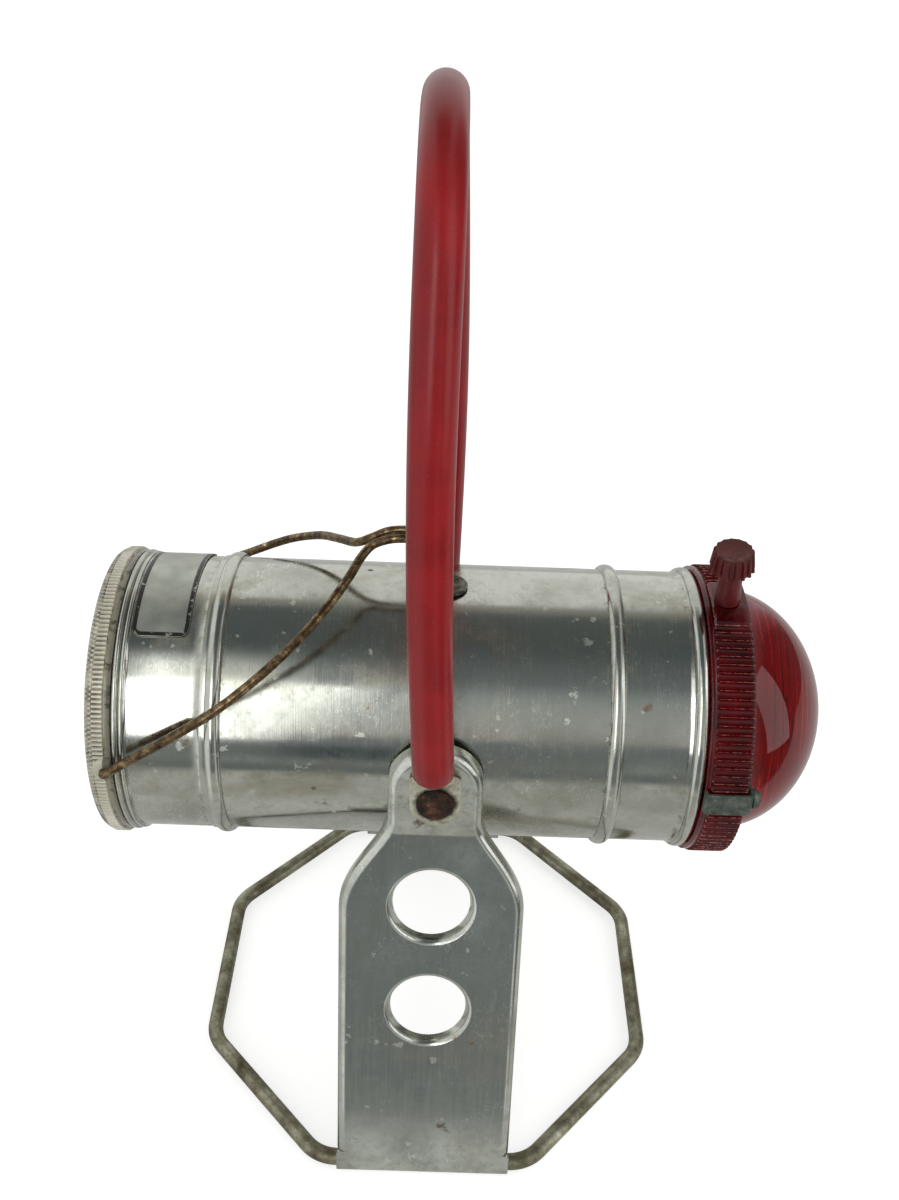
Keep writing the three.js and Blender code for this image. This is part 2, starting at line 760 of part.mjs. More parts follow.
function makeDome() {
  const arc = (reach, radius) => Array.from({ length: domeSteps }, (_, i) => {
    const angle = Math.PI / 2 * i / domeSteps;
    return [domeCentre + reach * Math.sin(angle), radius * Math.cos(angle)];
  });
  const outer = arc(domeReach, domeRadius).filter(([x]) => x > domeBase);
  const inner = arc(domeReach - domeWall, domeRadius - domeWall);
  return turned([
    [domeCentre + domeReach - domeWall, 0],
    ...inner.reverse(),
    [domeCentre, domeFlange],
    [domeBase, domeFlange],
    [domeBase, domeRadius],
    ...outer,
    [domeCentre + domeReach, 0],
  ]);
}

// Clip hooked behind the ring's flange and screwed to its front
function makeClip() {
  const mid = sheet / 2;
  const root = ringRear + mid;
  const side = -clipInner - mid;
  const front = ringFront + gap + mid;
  const line = [[root, -flangeRadius - gap], [root, side], [front, side], [front, side + clipTab]];
  const hole = turned(rod(ringFront - cutOver, ringFront + cutOver * 2, clipScrewRadius + gap), smallSteps);
  return cut(strip(line, sheet, clipWidth).translate(0, 0, clipRise), hole.translate(0, -clipScrewAt, clipRise));
}

function makeClipScrew() {
  const under = ringFront + gap + sheet + gap;
  const head = clipHeadShares.map(([up, out]) => [under + clipHeadHeight * up, clipHeadRadius * out]);
  const screw = turned([
    [ringFront - clipScrewLength, 0], [ringFront - clipScrewLength, clipScrewRadius], [under, clipScrewRadius],
    ...head, [under + clipHeadHeight, 0],
  ], smallSteps);
  return screw.translate(0, -clipScrewAt, clipRise);
}

// Switch: knob, stem and shaft in one, a contact cam on the shaft, a blade on the flasher plate
function makeKnob() {
  const bottom = gap + stemLength;
  const top = bottom + knobHeight;
  const outline = Array.from({ length: knobFlutes * 4 }, (_, i) => {
    const angle = Math.PI * i / (knobFlutes * 2);
    const radius = i % 4 < 2 ? knobSkirt : knobSkirt - fluteDepth;
    return new THREE.Vector2(Math.cos(angle) * radius, Math.sin(angle) * radius);
  });
  const head = new THREE.ExtrudeGeometry(new THREE.Shape(outline), { depth: knobHeight, bevelEnabled: false });
  const position = head.attributes.position;
  for (let i = 0; i < position.count; i += 1) {
    const taper = position.getZ(i) > knobHeight / 2 ? knobCrown / knobSkirt : 1;
    position.setXY(i, position.getX(i) * taper, position.getY(i) * taper);
  }
  head.translate(0, 0, bottom);
  const stem = turnedUp([
    [-shaftLength, 0], [-shaftLength, shaftRadius], [gap, shaftRadius], [gap, stemFoot],
    [bottom + knobDish, stemTop], [bottom + knobDish, 0],
  ]);
  const dish = turnedUp([
    [top - knobDish, 0], [top - knobDish, knobCrown / 2], [top, knobCrown * knobDishShare],
    [top + cutOver, knobCrown * knobDishShare], [top + cutOver, 0],
  ]);
  return cut(join(stem, head), dish).applyMatrix4(switchFrame);
}

function makeCam() {
  const from = -shaftLength + gap;
  const bore = shaftRadius + gap;
  const to = from + camThickness;
  const cam = turnedUp([[from, bore], [from, camRadius], [to, camRadius], [to, bore]]);
  return cam.applyMatrix4(switchFrame);
}

function makeBlade() {
  const face = flasherTo + gap + bladeThickness / 2;
  const under = padHeight - shaftLength - gap * 2 - bladeThickness / 2;
  const line = [[face, under - bladeFoot], [face, under], [face + bladeReach, under]];
  return strip(line, bladeThickness, bladeWidth).rotateX(Math.PI / 2 + radians(knobTurn));
}

// Stand plate in front, pressed as one flat pan, then bent at the crease.
// In the flat, x runs across, y up from the crease, and z inwards from the outer face.
const hemInner = wireRadius + gap;
const hemOuter = hemInner + sheet;
const wireHeight = hemOuter * Math.cos(radians(hemStep / 2));
const creaseHeight = pivotHeight - creaseDrop;
const splay = ringAcross - earFace;
const fall = creaseHeight - wireHeight;
const slope = Math.atan(splay / fall) + Math.asin(hemOuter / Math.hypot(splay, fall));
const slopeLength = Math.sqrt(splay ** 2 + fall ** 2 - hemOuter ** 2);

function plateOutline(inset, foot) {
  const neck = earHalfWidth - inset;
  const half = plateHalfWidth - inset;
  const top = creaseDrop + earArcRise;
  const shape = new THREE.Shape();
  shape.moveTo(half, -foot);
  shape.lineTo(half, -flareLength);
  shape.bezierCurveTo(half, -flareTurn, neck, -flareStart, neck, flareRise);
  shape.lineTo(neck, top);
  shape.absarc(0, top, neck, 0, Math.PI, false);
  shape.lineTo(-neck, flareRise);
  shape.bezierCurveTo(-neck, -flareStart, -half, -flareTurn, -half, -flareLength);
  shape.lineTo(-half, -foot);
  shape.closePath();
  return shape;
}

function flatPan(depth) {
  const outer = new THREE.ExtrudeGeometry(plateOutline(bendRadius, slopeLength + cutOver), {
    depth, bevelThickness: bendRadius, bevelSize: bendRadius, bevelSegments: 2, curveSegments: panSteps,
  });
  const hollow = new THREE.ExtrudeGeometry(plateOutline(sheet, slopeLength + cutOver * 4), {
    depth: depth + bendRadius * 2, bevelEnabled: false, curveSegments: panSteps,
  });
  const reach = slopeLength * 2;
  const behind = block([-reach, -reach, depth], [reach, reach, depth + reach]);
  return cut(outer.translate(0, 0, bendRadius), hollow.translate(0, 0, sheet), behind);
}

// Hole drawn inwards into a funnel
function drawHole(plate, at) {
  const back = turnedUp([
    [sheet / 2, 0], [sheet / 2, holeMouth + holeSheet], [holeDepth / 2, holeThroat + holeSheet * 1.5],
    [holeDepth, holeThroat + holeSheet], [holeDepth, 0],
  ], holeSteps);
  const bore = turnedUp([
    [-cutOver, 0], [-cutOver, holeMouth], [0, holeMouth], [sheet, (holeMouth + holeThroat) / 2],
    [holeDepth / 2 + sheet / 2, holeThroat + holeSheet / 4], [holeDepth + cutOver, holeThroat],
    [holeDepth + cutOver, 0],
  ], holeSteps);
  return cut(join(plate, back.translate(0, -at, 0)), bore.translate(0, -at, 0));
}

// Curl round the base wire, in [outward, up] from the wire's centre, laid along X
function makeHem() {
  const arc = (radius) => {
    const points = [new THREE.Vector2(
      Math.cos(slope) * radius - Math.sin(slope) * cutOver,
      Math.sin(slope) * radius + Math.cos(slope) * cutOver,
    )];
    points.push(new THREE.Vector2(Math.cos(slope) * radius, Math.sin(slope) * radius));
    for (let turn = hemStep / 2; turn <= hemCurl; turn += hemStep) {
      points.push(new THREE.Vector2(Math.cos(-radians(turn)) * radius, Math.sin(-radians(turn)) * radius));
    }
    return points;
  };
  const shape = new THREE.Shape([...arc(hemOuter), ...arc(hemInner).reverse()]);
  const hem = new THREE.ExtrudeGeometry(shape, { depth: hemHalfWidth * 2, bevelEnabled: false });
  hem.translate(0, 0, -hemHalfWidth);
  const laid = new THREE.Matrix4().makeBasis(
    new THREE.Vector3(0, -1, 0), new THREE.Vector3(0, 0, 1), new THREE.Vector3(-1, 0, 0),
  );
  return hem.applyMatrix4(laid).translate(0, -ringAcross, wireHeight);
}

function makeStandPlate() {
  const overlap = sheet / 2;
  const reach = slopeLength * 2;
  const below = block([-reach, -reach, -reach], [reach, -overlap, reach]);
  const above = block([-reach, overlap, -reach], [reach, reach, reach]);
  const foot = block([-reach, -reach, -reach], [reach, -slopeLength, reach]);
  const flangeEnds = block([-reach, -reach, sheet], [reach, hemClear - slopeLength, reach]);
  const upright = new THREE.Matrix4().makeBasis(
    new THREE.Vector3(-1, 0, 0), new THREE.Vector3(0, 0, 1), new THREE.Vector3(0, 1, 0),
  );
  const ear = cut(flatPan(earDepth), below).applyMatrix4(upright);
  let leg = cut(flatPan(plateDepth), above, foot, flangeEnds);
  for (const at of [upperHole, lowerHole]) leg = drawHole(leg, at);
  leg.applyMatrix4(upright).rotateX(-slope);
  const bent = join(ear, leg).translate(0, -earFace, creaseHeight);
  const rivetHole = turnedOut(rod(0, earFace + cutOver, rivetRadius + gap)).translate(0, 0, pivotHeight);
  return cut(join(bent, makeHem()), rivetHole);
}

// Base ring: one wire bent into an octagon, its ends butted inside the rear hem
function makeBaseRing() {
  const corners = [
    [gap, ringAcross], [frontHalf, ringAcross], [ringAcross, sideHalf], [ringAcross, -sideHalf],
    [frontHalf, -ringAcross], [-frontHalf, -ringAcross], [-ringAcross, -sideHalf], [-ringAcross, sideHalf],
    [-frontHalf, ringAcross], [-gap, ringAcross],
  ].map(([x, y]) => new THREE.Vector3(x, y, wireHeight));
  return wire(roundedPath(corners, wireBend), wireRadius);
}

// Pivot rivet in front: head over the handle strap, tail peened inside the tube
function makeRivet() {
  const head = earFace + gap + strapThickness + gap;
  const wallInside = (tubeRadius - tubeWall) * Math.cos(Math.PI / roundSteps);
  const tail = Math.sqrt(wallInside ** 2 - (pivotRise + rivetTail) ** 2) - gap;
  return turnedOut([
    [tail - tailThickness, 0], [tail - tailThickness, rivetTail - tailThickness], [tail, rivetTail],
    [tail, rivetRadius], [head, rivetRadius], [head, rivetHead],
    ...rivetShares.map(([up, out]) => [head + rivetCrown * up, rivetHead * out]),
  ]).translate(0, 0, pivotHeight);
}

function makeSpacer() {
  const from = tubeRadius + gap;
  const to = from + spacerLength;
  const bore = rivetRadius + gap;
  const spacer = turnedOut([[from, bore], [from, spacerRadius], [to, spacerRadius], [to, bore]]);
  return spacer.translate(0, 0, pivotHeight);
}

// Half of the handle's arch, from the top down to the front leg's sleeve end
function archPoints() {
  const curve = new THREE.CubicBezierCurve(
    new THREE.Vector2(0, handleRise),
    new THREE.Vector2(legSpread * topHandleShare, handleRise),
    new THREE.Vector2(legSpread + legBulge, handleRise * legHandleShare),
    new THREE.Vector2(legSpread, legStart),
  );
  return Array.from({ length: handleSteps + 1 }, (_, i) => {
    const { x: out, y: up } = curve.getPoint(i / handleSteps);
    const twist = handleTwist * out / legSpread * Math.sin(Math.PI * up / handleRise);
    return new THREE.Vector3(-twist, -out, up);
  });
}

function turnedRound(points) {
  return points.map(({ x, y, z }) => new THREE.Vector3(-x, -y, z));
}

// Sections of the rod's front end: round rod, flattened and stepped in to a round-ended strap
function strapSections(extra = 0) {
  const strapY = -earFace - gap - strapThickness / 2;
  const arcCentre = strapHalfWidth - strapBottom;
  const arch = archPoints();
  const below = arch.findIndex(({ z }) => z < strapTop);
  const share = (strapTop - arch[below].z) / (arch[below - 1].z - arch[below].z);
  const start = arch[below].clone().lerp(arch[below - 1], share);
  const sections = Array.from({ length: strapSteps + 1 }, (_, i) => {
    const eased = THREE.MathUtils.smoothstep(i / strapSteps, 0, 1);
    const z = THREE.MathUtils.lerp(strapTop, strapStraight, i / strapSteps);
    return {
      centre: new THREE.Vector3(start.x * (1 - eased), THREE.MathUtils.lerp(start.y, strapY, eased), z),
      half: THREE.MathUtils.lerp(rodRadius, strapHalfWidth, eased) + extra,
      thick: THREE.MathUtils.lerp(rodRadius, strapThickness / 2, eased) + extra,
      square: eased,
    };
  });
  for (const angle of strapTurns.map(radians)) {
    sections.push({
      centre: new THREE.Vector3(0, strapY, arcCentre - Math.sin(angle) * strapHalfWidth),
      half: Math.cos(angle) * strapHalfWidth + extra,
      thick: strapThickness / 2 + extra,
      square: 1,
    });
  }
  return sections;
}

// Closed solid through rings of points, with flat ends
function loft(rings) {
  const sides = rings[0].length;
  const index = [];
  for (let r = 0; r < rings.length - 1; r += 1) {
    for (let s = 0; s < sides; s += 1) {
      const a = r * sides + s;
      const b = r * sides + (s + 1) % sides;
      index.push(a, a + sides, b, b, a + sides, b + sides);
    }
  }
  const last = (rings.length - 1) * sides;
  for (let s = 1; s < sides - 1; s += 1) index.push(0, s, s + 1, last, last + s + 1, last + s);
  const geometry = new THREE.BufferGeometry().setFromPoints(rings.flat());
  geometry.setIndex(index);
  return geometry;
}

// Ring of points, from round to a flat bar with rounded edges as square goes from 0 to 1
function rodRing({ centre, half, thick, square }, tangent) {
  const across = new THREE.Vector3(1, 0, 0);
  const outward = new THREE.Vector3().crossVectors(across, tangent).normalize();
  const power = 1 - square * 3 / 4;
  const bent = (value) => Math.sign(value) * Math.abs(value) ** power;
  return Array.from({ length: wireSides }, (_, i) => {
    const angle = 2 * Math.PI * (i + 1 / 2) / wireSides;
    return centre.clone()
      .addScaledVector(across, bent(Math.cos(angle)) * half)
      .addScaledVector(outward, bent(Math.sin(angle)) * thick);
  });
}

function makeRod() {
  const arch = archPoints().filter(({ z }) => z > strapTop + rodRadius);
  const front = arch.map((centre) => ({ centre, half: rodRadius, thick: rodRadius, square: 0 }));
  front.push(...strapSections());
  const rear = front.slice(1).reverse().map((section) => ({
    ...section, centre: turnedRound([section.centre])[0],
  }));
  const sections = [...rear, ...front];
  const rings = sections.map((section, i) => {
    const before = sections[Math.max(i - 1, 0)].centre;
    const after = sections[Math.min(i + 1, sections.length - 1)].centre;
    const along = after.clone().sub(before);
    const upright = new THREE.Vector3(0, 0, Math.sign(along.z));
    return rodRing(section, section.square > 0 ? upright : along);
  });
  const reach = legSpread + rodRadius + cutOver;
  const hole = turnedOut(rod(-reach, reach, rivetRadius + gap));
  return cut(loft(rings), hole);
}

// Vinyl sleeve over the rod, open behind its ends where the rod steps in to the straps
function makeSleeve() {
  const half = archPoints();
  const path = [...turnedRound(half.slice(1)).reverse(), ...half];
  const sleeve = wire(path, sleeveRadius, sleeveSides, rodRadius + gap);
  const down = new THREE.Vector3(0, 0, -1);
  const strap = loft(strapSections(strapClear).map((section) => rodRing(section, down)));
  return cut(sleeve, strap, strap.clone().rotateZ(Math.PI));
}

// Hanging wire: two arms from the hinge lugs to a narrow neck with a turned end
function makeHanger() {
  const armShares = [
    [0.1, 0.984], [0.445, 0.926], [0.562, 0.845], [0.644, 0.782], [0.784, 0.585],
    [0.878, 0.396], [0.959, 0.207],
  ];
  const rise = radians(hangerAngle);
  const onArm = (along, y) => new THREE.Vector3(
    -hangerHinge + Math.cos(rise) * along, y, hangerRise + Math.sin(rise) * along,
  );
  const tip = new THREE.Vector3(-hangerHinge, hangerTip - hangerSpread, hangerRise);
  const half = [tip, onArm(0, hangerBend / 2 - hangerSpread), onArm(hangerBend / 6, -hangerSpread)];
  half.push(onArm(hangerBend, -hangerSpread));
  for (const [along, out] of armShares) half.push(onArm(along * hangerReach, -out * hangerSpread));
  half.push(onArm(hangerReach, -hangerNeck));
  const bend = onArm(hangerReach + neckStraight, -hangerNeck);
  half.push(bend.clone().lerp(half[half.length - 1], 1 / 4));
  half.push(bend.clone().add(new THREE.Vector3(hangerBend / 2, 0, 0)));
  const end = bend.x + neckLevel - hangerNeck;
  half.push(new THREE.Vector3(end, -hangerNeck, bend.z));
  for (const turn of [30, 60].map(radians)) {
    half.push(new THREE.Vector3(end + Math.sin(turn) * hangerNeck, -Math.cos(turn) * hangerNeck, bend.z));
  }
  const loopEnd = new THREE.Vector3(end + hangerNeck, 0, bend.z);
  const rear = half.map(({ x, y, z }) => new THREE.Vector3(x, -y, z)).reverse();
  return wire([...half, loopEnd, ...rear], hangerRadius);
}

const frontPlate = makeStandPlate();
const frontRivet = makeRivet();
const frontSpacer = makeSpacer();
addPiece(stand, 'base_ring', makeBaseRing(), 'platedSteel');
for (const [side, turn] of [['front', 0], ['rear', Math.PI]]) {
  addPiece(stand, `${side}_stand_plate`, frontPlate.clone().rotateZ(turn), 'aluminium');
  addPiece(stand, `${side}_pivot_rivet`, frontRivet.clone().rotateZ(turn), 'rustySteel');
  addPiece(stand, `${side}_pivot_spacer`, frontSpacer.clone().rotateZ(turn), 'platedSteel');
}

addPiece(lamp, 'lamp_tube', makeTube(), 'aluminium');
addPiece(lamp, 'top_plug', makeTopPlug(), 'blackRubber');
addPiece(lamp, 'label_plate', makeLabel(), 'labelPlate');
addPiece(lamp, 'clear_lens_cap', makeClearCap(), 'clearPlastic');
addPiece(lamp, 'beam_reflector', makeReflector(), 'brightAluminium');
addPiece(lamp, 'beam_bulb_socket', makeBeamSocket(), 'fibre');
addPiece(lamp, 'beam_bulb_base', makeBulbBase(beamSeat, -1), 'brass');
addPiece(lamp, 'beam_bulb_glass', makeBulbGlass(beamSeat, -1), 'glass');

addPiece(lamp, 'contact_board', turned(rod(boardFrom, boardTo, linerRadius)), 'fibre');
addPiece(lamp, 'battery', makeBattery(), 'batteryJacket');
for (const [name, offset] of [['centre', 0], ['corner', terminalOffset]]) {
  const coil = coilPoints(-offset, offset - batteryDrop);
  console.log(`${name} terminal, gap between turns ${coilGap(coil).toFixed(2)} mm`);
  addPiece(lamp, `battery_${name}_terminal`, wire(coil, springWire / 2, 5), 'springSteel');
  addPiece(lamp, `${name}_contact`, makeContact(-offset, offset - batteryDrop), 'brass');
}
addPiece(lamp, 'battery_liner', makeLiner(), 'cardboard');
addPiece(lamp, 'battery_bow_spring', makeBowSpring(), 'springSteel');
addPiece(lamp, 'flasher_plate', makeFlasherPlate(), 'brightAluminium');
addPiece(lamp, 'flasher_bulb_socket', makeFlasherSocket(), 'fibre');
const flasherSeat = socketFoot + socketWall + gap;
addPiece(lamp, 'flasher_bulb_base', makeBulbBase(flasherSeat, 1), 'brass');
addPiece(lamp, 'flasher_bulb_glass', makeBulbGlass(flasherSeat, 1), 'glass');
addPiece(lamp, 'switch_blade', makeBlade(), 'brass');
addPiece(lamp, 'red_lens_ring', makeRedRing(), 'redPlastic');
addPiece(lamp, 'red_dome_lens', makeDome(), 'redPlastic');
addPiece(lamp, 'ring_clip', makeClip(), 'greyZinc');
addPiece(lamp, 'clip_screw', makeClipScrew(), 'greyZinc');
addPiece(lamp, 'switch_knob', makeKnob(), 'redVinyl');
addPiece(lamp, 'switch_cam', makeCam(), 'brass');
addPiece(lamp, 'hanger_wire', makeHanger(), 'darkWire');

addPiece(handle, 'handle_rod', makeRod(), 'platedSteel');
addPiece(handle, 'handle_sleeve', makeSleeve(), 'redVinyl');

export default lantern;
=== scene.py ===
import math
from contextlib import contextmanager
from functools import partial

import bpy
from mathutils import Matrix, Vector


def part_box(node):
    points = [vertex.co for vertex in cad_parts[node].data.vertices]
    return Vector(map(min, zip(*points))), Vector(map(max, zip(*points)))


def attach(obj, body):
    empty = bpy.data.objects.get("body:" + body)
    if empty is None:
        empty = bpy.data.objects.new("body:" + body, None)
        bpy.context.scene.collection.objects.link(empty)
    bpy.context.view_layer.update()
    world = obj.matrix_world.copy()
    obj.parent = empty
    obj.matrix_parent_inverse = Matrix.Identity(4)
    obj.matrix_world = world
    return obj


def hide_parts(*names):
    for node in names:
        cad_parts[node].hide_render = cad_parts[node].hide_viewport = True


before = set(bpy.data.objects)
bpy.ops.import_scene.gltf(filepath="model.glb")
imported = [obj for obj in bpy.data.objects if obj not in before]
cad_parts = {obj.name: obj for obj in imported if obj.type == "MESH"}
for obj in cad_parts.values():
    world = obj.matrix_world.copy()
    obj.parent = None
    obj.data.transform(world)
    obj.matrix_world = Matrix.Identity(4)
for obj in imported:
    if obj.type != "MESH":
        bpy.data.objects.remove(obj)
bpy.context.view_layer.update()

mm = 0.001
turn = 2 * math.pi

# Shared places, in mm: the pivot's X, the tube's axis, the rivets' height and radius, as in the CAD
places = {"pivotX": -11.2, "axisZ": 164.0, "rivetZ": 167.0, "earFace": 58.2, "gap": 0.3, "pin": 3.5}
lampPlace, pivotPlace, standPlace = (
    Matrix.Translation(Vector((places["pivotX"], 0, z)) * mm) for z in (places["axisZ"], places["rivetZ"], 0))
rearOf = standPlace @ Matrix.Rotation(math.pi, 4, "Z") @ standPlace.inverted()  # from the front plate to the rear
onEnd = Matrix.Rotation(-math.pi / 2, 4, "Y")  # stands what was turned round X on its end
toFront = Matrix.Rotation(-math.pi / 2, 4, "Z")  # points it to the front
toRear = Matrix.Rotation(math.pi / 2, 4, "Z")
sameSpot = 0.004 * mm  # corners closer than this become one


# Modelling

def pick(*pieces):
    bpy.ops.object.select_all(action="DESELECT")
    for piece in pieces:
        piece.select_set(True)
    bpy.context.view_layer.objects.active = pieces[0]


# Edit mode with the piece's whole mesh selected
@contextmanager
def editing(piece):
    pick(piece)
    bpy.ops.object.mode_set(mode="EDIT")
    bpy.ops.mesh.select_all(action="SELECT")
    yield bpy.ops.mesh
    bpy.ops.object.mode_set(mode="OBJECT")


def cleanUp(piece, capped=False):
    with editing(piece) as mesh:
        mesh.remove_doubles(threshold=sameSpot)
        mesh.delete_loose()
        if capped:
            mesh.select_all(action="DESELECT")
            mesh.select_non_manifold(extend=False)
            mesh.fill_holes(sides=0)
        mesh.select_all(action="SELECT")
        mesh.normals_make_consistent(inside=False)
    return piece


# Turns a sheet over if its faces look the wrong way on the whole
def facing(piece, measure):
    if sum(measure(face) for face in piece.data.polygons) < 0:
        piece.data.flip_normals()


# A closed loop of points in mm: a circle whose vertices are put in place
def loop(name, points):
    bpy.ops.object.select_all(action="DESELECT")
    bpy.ops.mesh.primitive_circle_add(vertices=len(points), fill_type="NOTHING")
    piece = bpy.context.object
    piece.name = name
    for vertex, point in zip(piece.data.vertices, points):
        vertex.co = Vector(point) * mm
    return piece


# A profile of (x, radius) in mm, spun round X; reshape(x, radius, angle) may then model ribs
def turned(name, profile, steps, place=lampPlace, reshape=None):
    piece = loop(name, [(x, 0, radius) for x, radius in profile])
    with editing(piece) as mesh:
        mesh.spin(steps=steps, angle=turn, center=(0, 0, 0), axis=(1, 0, 0), use_auto_merge=True)
    cleanUp(piece)
    for vertex in piece.data.vertices if reshape else ():
        x, y, z = vertex.co / mm
        radius, angle = math.hypot(y, z), math.atan2(-y, z)  # angle from the top towards the front
        new = reshape(x, radius, angle)
        if new != radius:
            vertex.co = Vector((x, -math.sin(angle) * new, math.cos(angle) * new)) * mm
    piece.data.transform(place)
    return piece


# Rows of points in mm, skinned; closed rows join up with themselves
def skinned(name, rows, closed=True, capped=True):
    bpy.ops.object.select_all(action="DESELECT")
    rows = [list(row) + [row[0]] if closed else list(row) for row in rows]
    bpy.ops.mesh.primitive_grid_add(x_subdivisions=len(rows[0]) - 1, y_subdivisions=len(rows) - 1)
    piece = bpy.context.object
    piece.name = name
    for vertex, point in zip(piece.data.vertices, (point for row in rows for point in row)):
        vertex.co = Vector(point) * mm
    return cleanUp(piece, capped=capped)


# Round wire along points in mm
def bentWire(name, points, radius, sides, closed=False):
    bpy.ops.object.select_all(action="DESELECT")
    bpy.ops.curve.primitive_nurbs_path_add()
    piece = bpy.context.object
    piece.name = name
    line = piece.data
    line.splines.clear()
    spline = line.splines.new("POLY")
    spline.points.add(len(points) - 1)
    for spot, point in zip(spline.points, points):
        spot.co = (*(Vector(point) * mm), 1)
    spline.use_cyclic_u = closed
    line.dimensions = "3D"
    line.bevel_depth = radius * mm
    line.bevel_resolution = sides
    line.use_fill_caps = True
    bpy.ops.object.convert(target="MESH")
    return cleanUp(bpy.context.object, capped=not closed)


def join(*pieces):
    pick(*pieces)
    bpy.ops.object.join()
    return bpy.context.object


def applied(piece, kind, **settings):
    pick(piece)
    modifier = piece.modifiers.new(kind.title(), kind)
    for key, value in settings.items():
        setattr(modifier, key, value)
    bpy.ops.object.modifier_apply(modifier=modifier.name)


# Bores a piece with round cutters, each given as its two ends along X, its radius and its place
def bored(piece, *holes):
    for start, end, radius, place in holes:
        cutter = turned("hole", [(start, 0), (start, radius), (end, radius), (end, 0)], 24, place)
        applied(piece, "BOOLEAN", operation="DIFFERENCE", object=cutter, solver="EXACT")
        bpy.data.objects.remove(cutter)


def copyOf(piece, place):
    other = piece.copy()
    other.data = piece.data.copy()
    other.data.transform(place)
    bpy.context.scene.collection.objects.link(other)
    return other


def finish(piece, name, material, body, replaced, smooth=35):
    piece.name = name
    piece.data.name = name
    piece.data.materials.clear()
    piece.data.materials.append(material)
    if smooth:
        pick(piece)
        bpy.ops.object.shade_smooth_by_angle(angle=math.radians(smooth))
    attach(piece, body)
    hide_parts(replaced)


# Lines

def arc(centre, radius, first, last, steps):
    return [(centre[0] + radius * math.cos(a), centre[1] + radius * math.sin(a))
            for a in (math.radians(first + (last - first) * i / steps) for i in range(steps + 1))]


def bezier(a, b, c, d, steps):
    return [tuple((1 - t) ** 3 * a[k] + 3 * (1 - t) ** 2 * t * b[k] + 3 * (1 - t) * t * t * c[k] + t ** 3 * d[k]
                  for k in (0, 1)) for t in (i / steps for i in range(steps + 1))]


# A smooth line through the given points
def smoothLine(points, steps):
    out = []
    for i in range(len(points) - 1):
        a, b, c, d = (points[min(max(i + k, 0), len(points) - 1)] for k in (-1, 0, 1, 2))
        for t in (s / steps for s in range(steps)):
            out.append(0.5 * (2 * b + (c - a) * t + (2 * a - 5 * b + 4 * c - d) * t * t
                              + (3 * b - a - 3 * c + d) * t ** 3))
    return out + [points[-1]]


# Which way a line runs at its point i
def heading(points, i):
    before, after = points[max(i - 1, 0)], points[min(i + 1, len(points) - 1)]
    return Vector([b - a for a, b in zip(before, after)]).normalized()


def halfTurned(points):
    return [Vector((-p.x, -p.y, p.z)) for p in points]


def ease(value, low, high):
    t = min(max((value - low) / (high - low), 0), 1)
    return t * t * (3 - 2 * t)


# Colours and nodes

def colour(code):
    parts = [int(code[i:i + 2], 16) / 255 for i in (1, 3, 5)]
    return [c / 12.92 if c <= 0.04045 else ((c + 0.055) / 1.055) ** 2.4 for c in parts] + [1]


def grey(level):
    return [level, level, level, 1]


# Fills a node's inputs: sockets are linked and values are set
def feed(node, inputs):
    for key, value in inputs.items() if isinstance(inputs, dict) else enumerate(inputs):
        if isinstance(value, bpy.types.NodeSocket):
            node.id_data.links.new(value, node.inputs[key])
        else:
            node.inputs[key].default_value = value


# Adds a node with its settings, inputs and ramp stops, and returns one of its outputs
def addNode(tree, kind, inputs=(), out=0, stops=(), **settings):
    node = tree.nodes.new("ShaderNode" + kind)
    for key, value in settings.items():
        setattr(node, key, value)
    feed(node, inputs)
    for i, (place, value) in enumerate(stops):
        ramp = node.color_ramp.elements
        stop = ramp[i] if i < 2 else ramp.new(place)
        stop.position, stop.color = place, value
    return node.outputs[out]


# A ramp starts with its two ends, so they come before the stops between them
def endsFirst(stops):
    return [stops[0], stops[-1], *stops[1:-1]]


# Patterns use Object coordinates, in metres: a scale of 1000 / 26 gives features some 26 mm across
def newMaterial(name):
    material = bpy.data.materials.new(name)
    material.use_nodes = True
    add = partial(addNode, material.node_tree)
    return material, add, material.node_tree.nodes["Principled BSDF"], add("TexCoord", out="Object")


# A point's place from the middle of the tube, and its distance from the tube's axis
def aroundLamp(add, spot):
    local = add("Mapping", {"Vector": spot, "Location": (-places["pivotX"] * mm, 0, -places["axisZ"] * mm)})
    across = add("VectorMath", (local, (0, 1, 1)), operation="MULTIPLY")
    return local, add("VectorMath", (across,), "Value", operation="LENGTH")


# Marks of age on aluminium: sizes in mm, then the tint of each
ageMarks = {"fine": 3, "scratchPatch": 26, "dropsApart": 13, "splash": 6.5, "stain": 42,
            "scratchTint": "#e4e6e4", "pitTint": "#4a3524", "driedTint": "#e2e3da", "grimeAndShadeTint": "#5d5440",
            "splashTint": "#dcdcd0", "brownTint": "#6e5236", "stainTint": "#9b9580"}
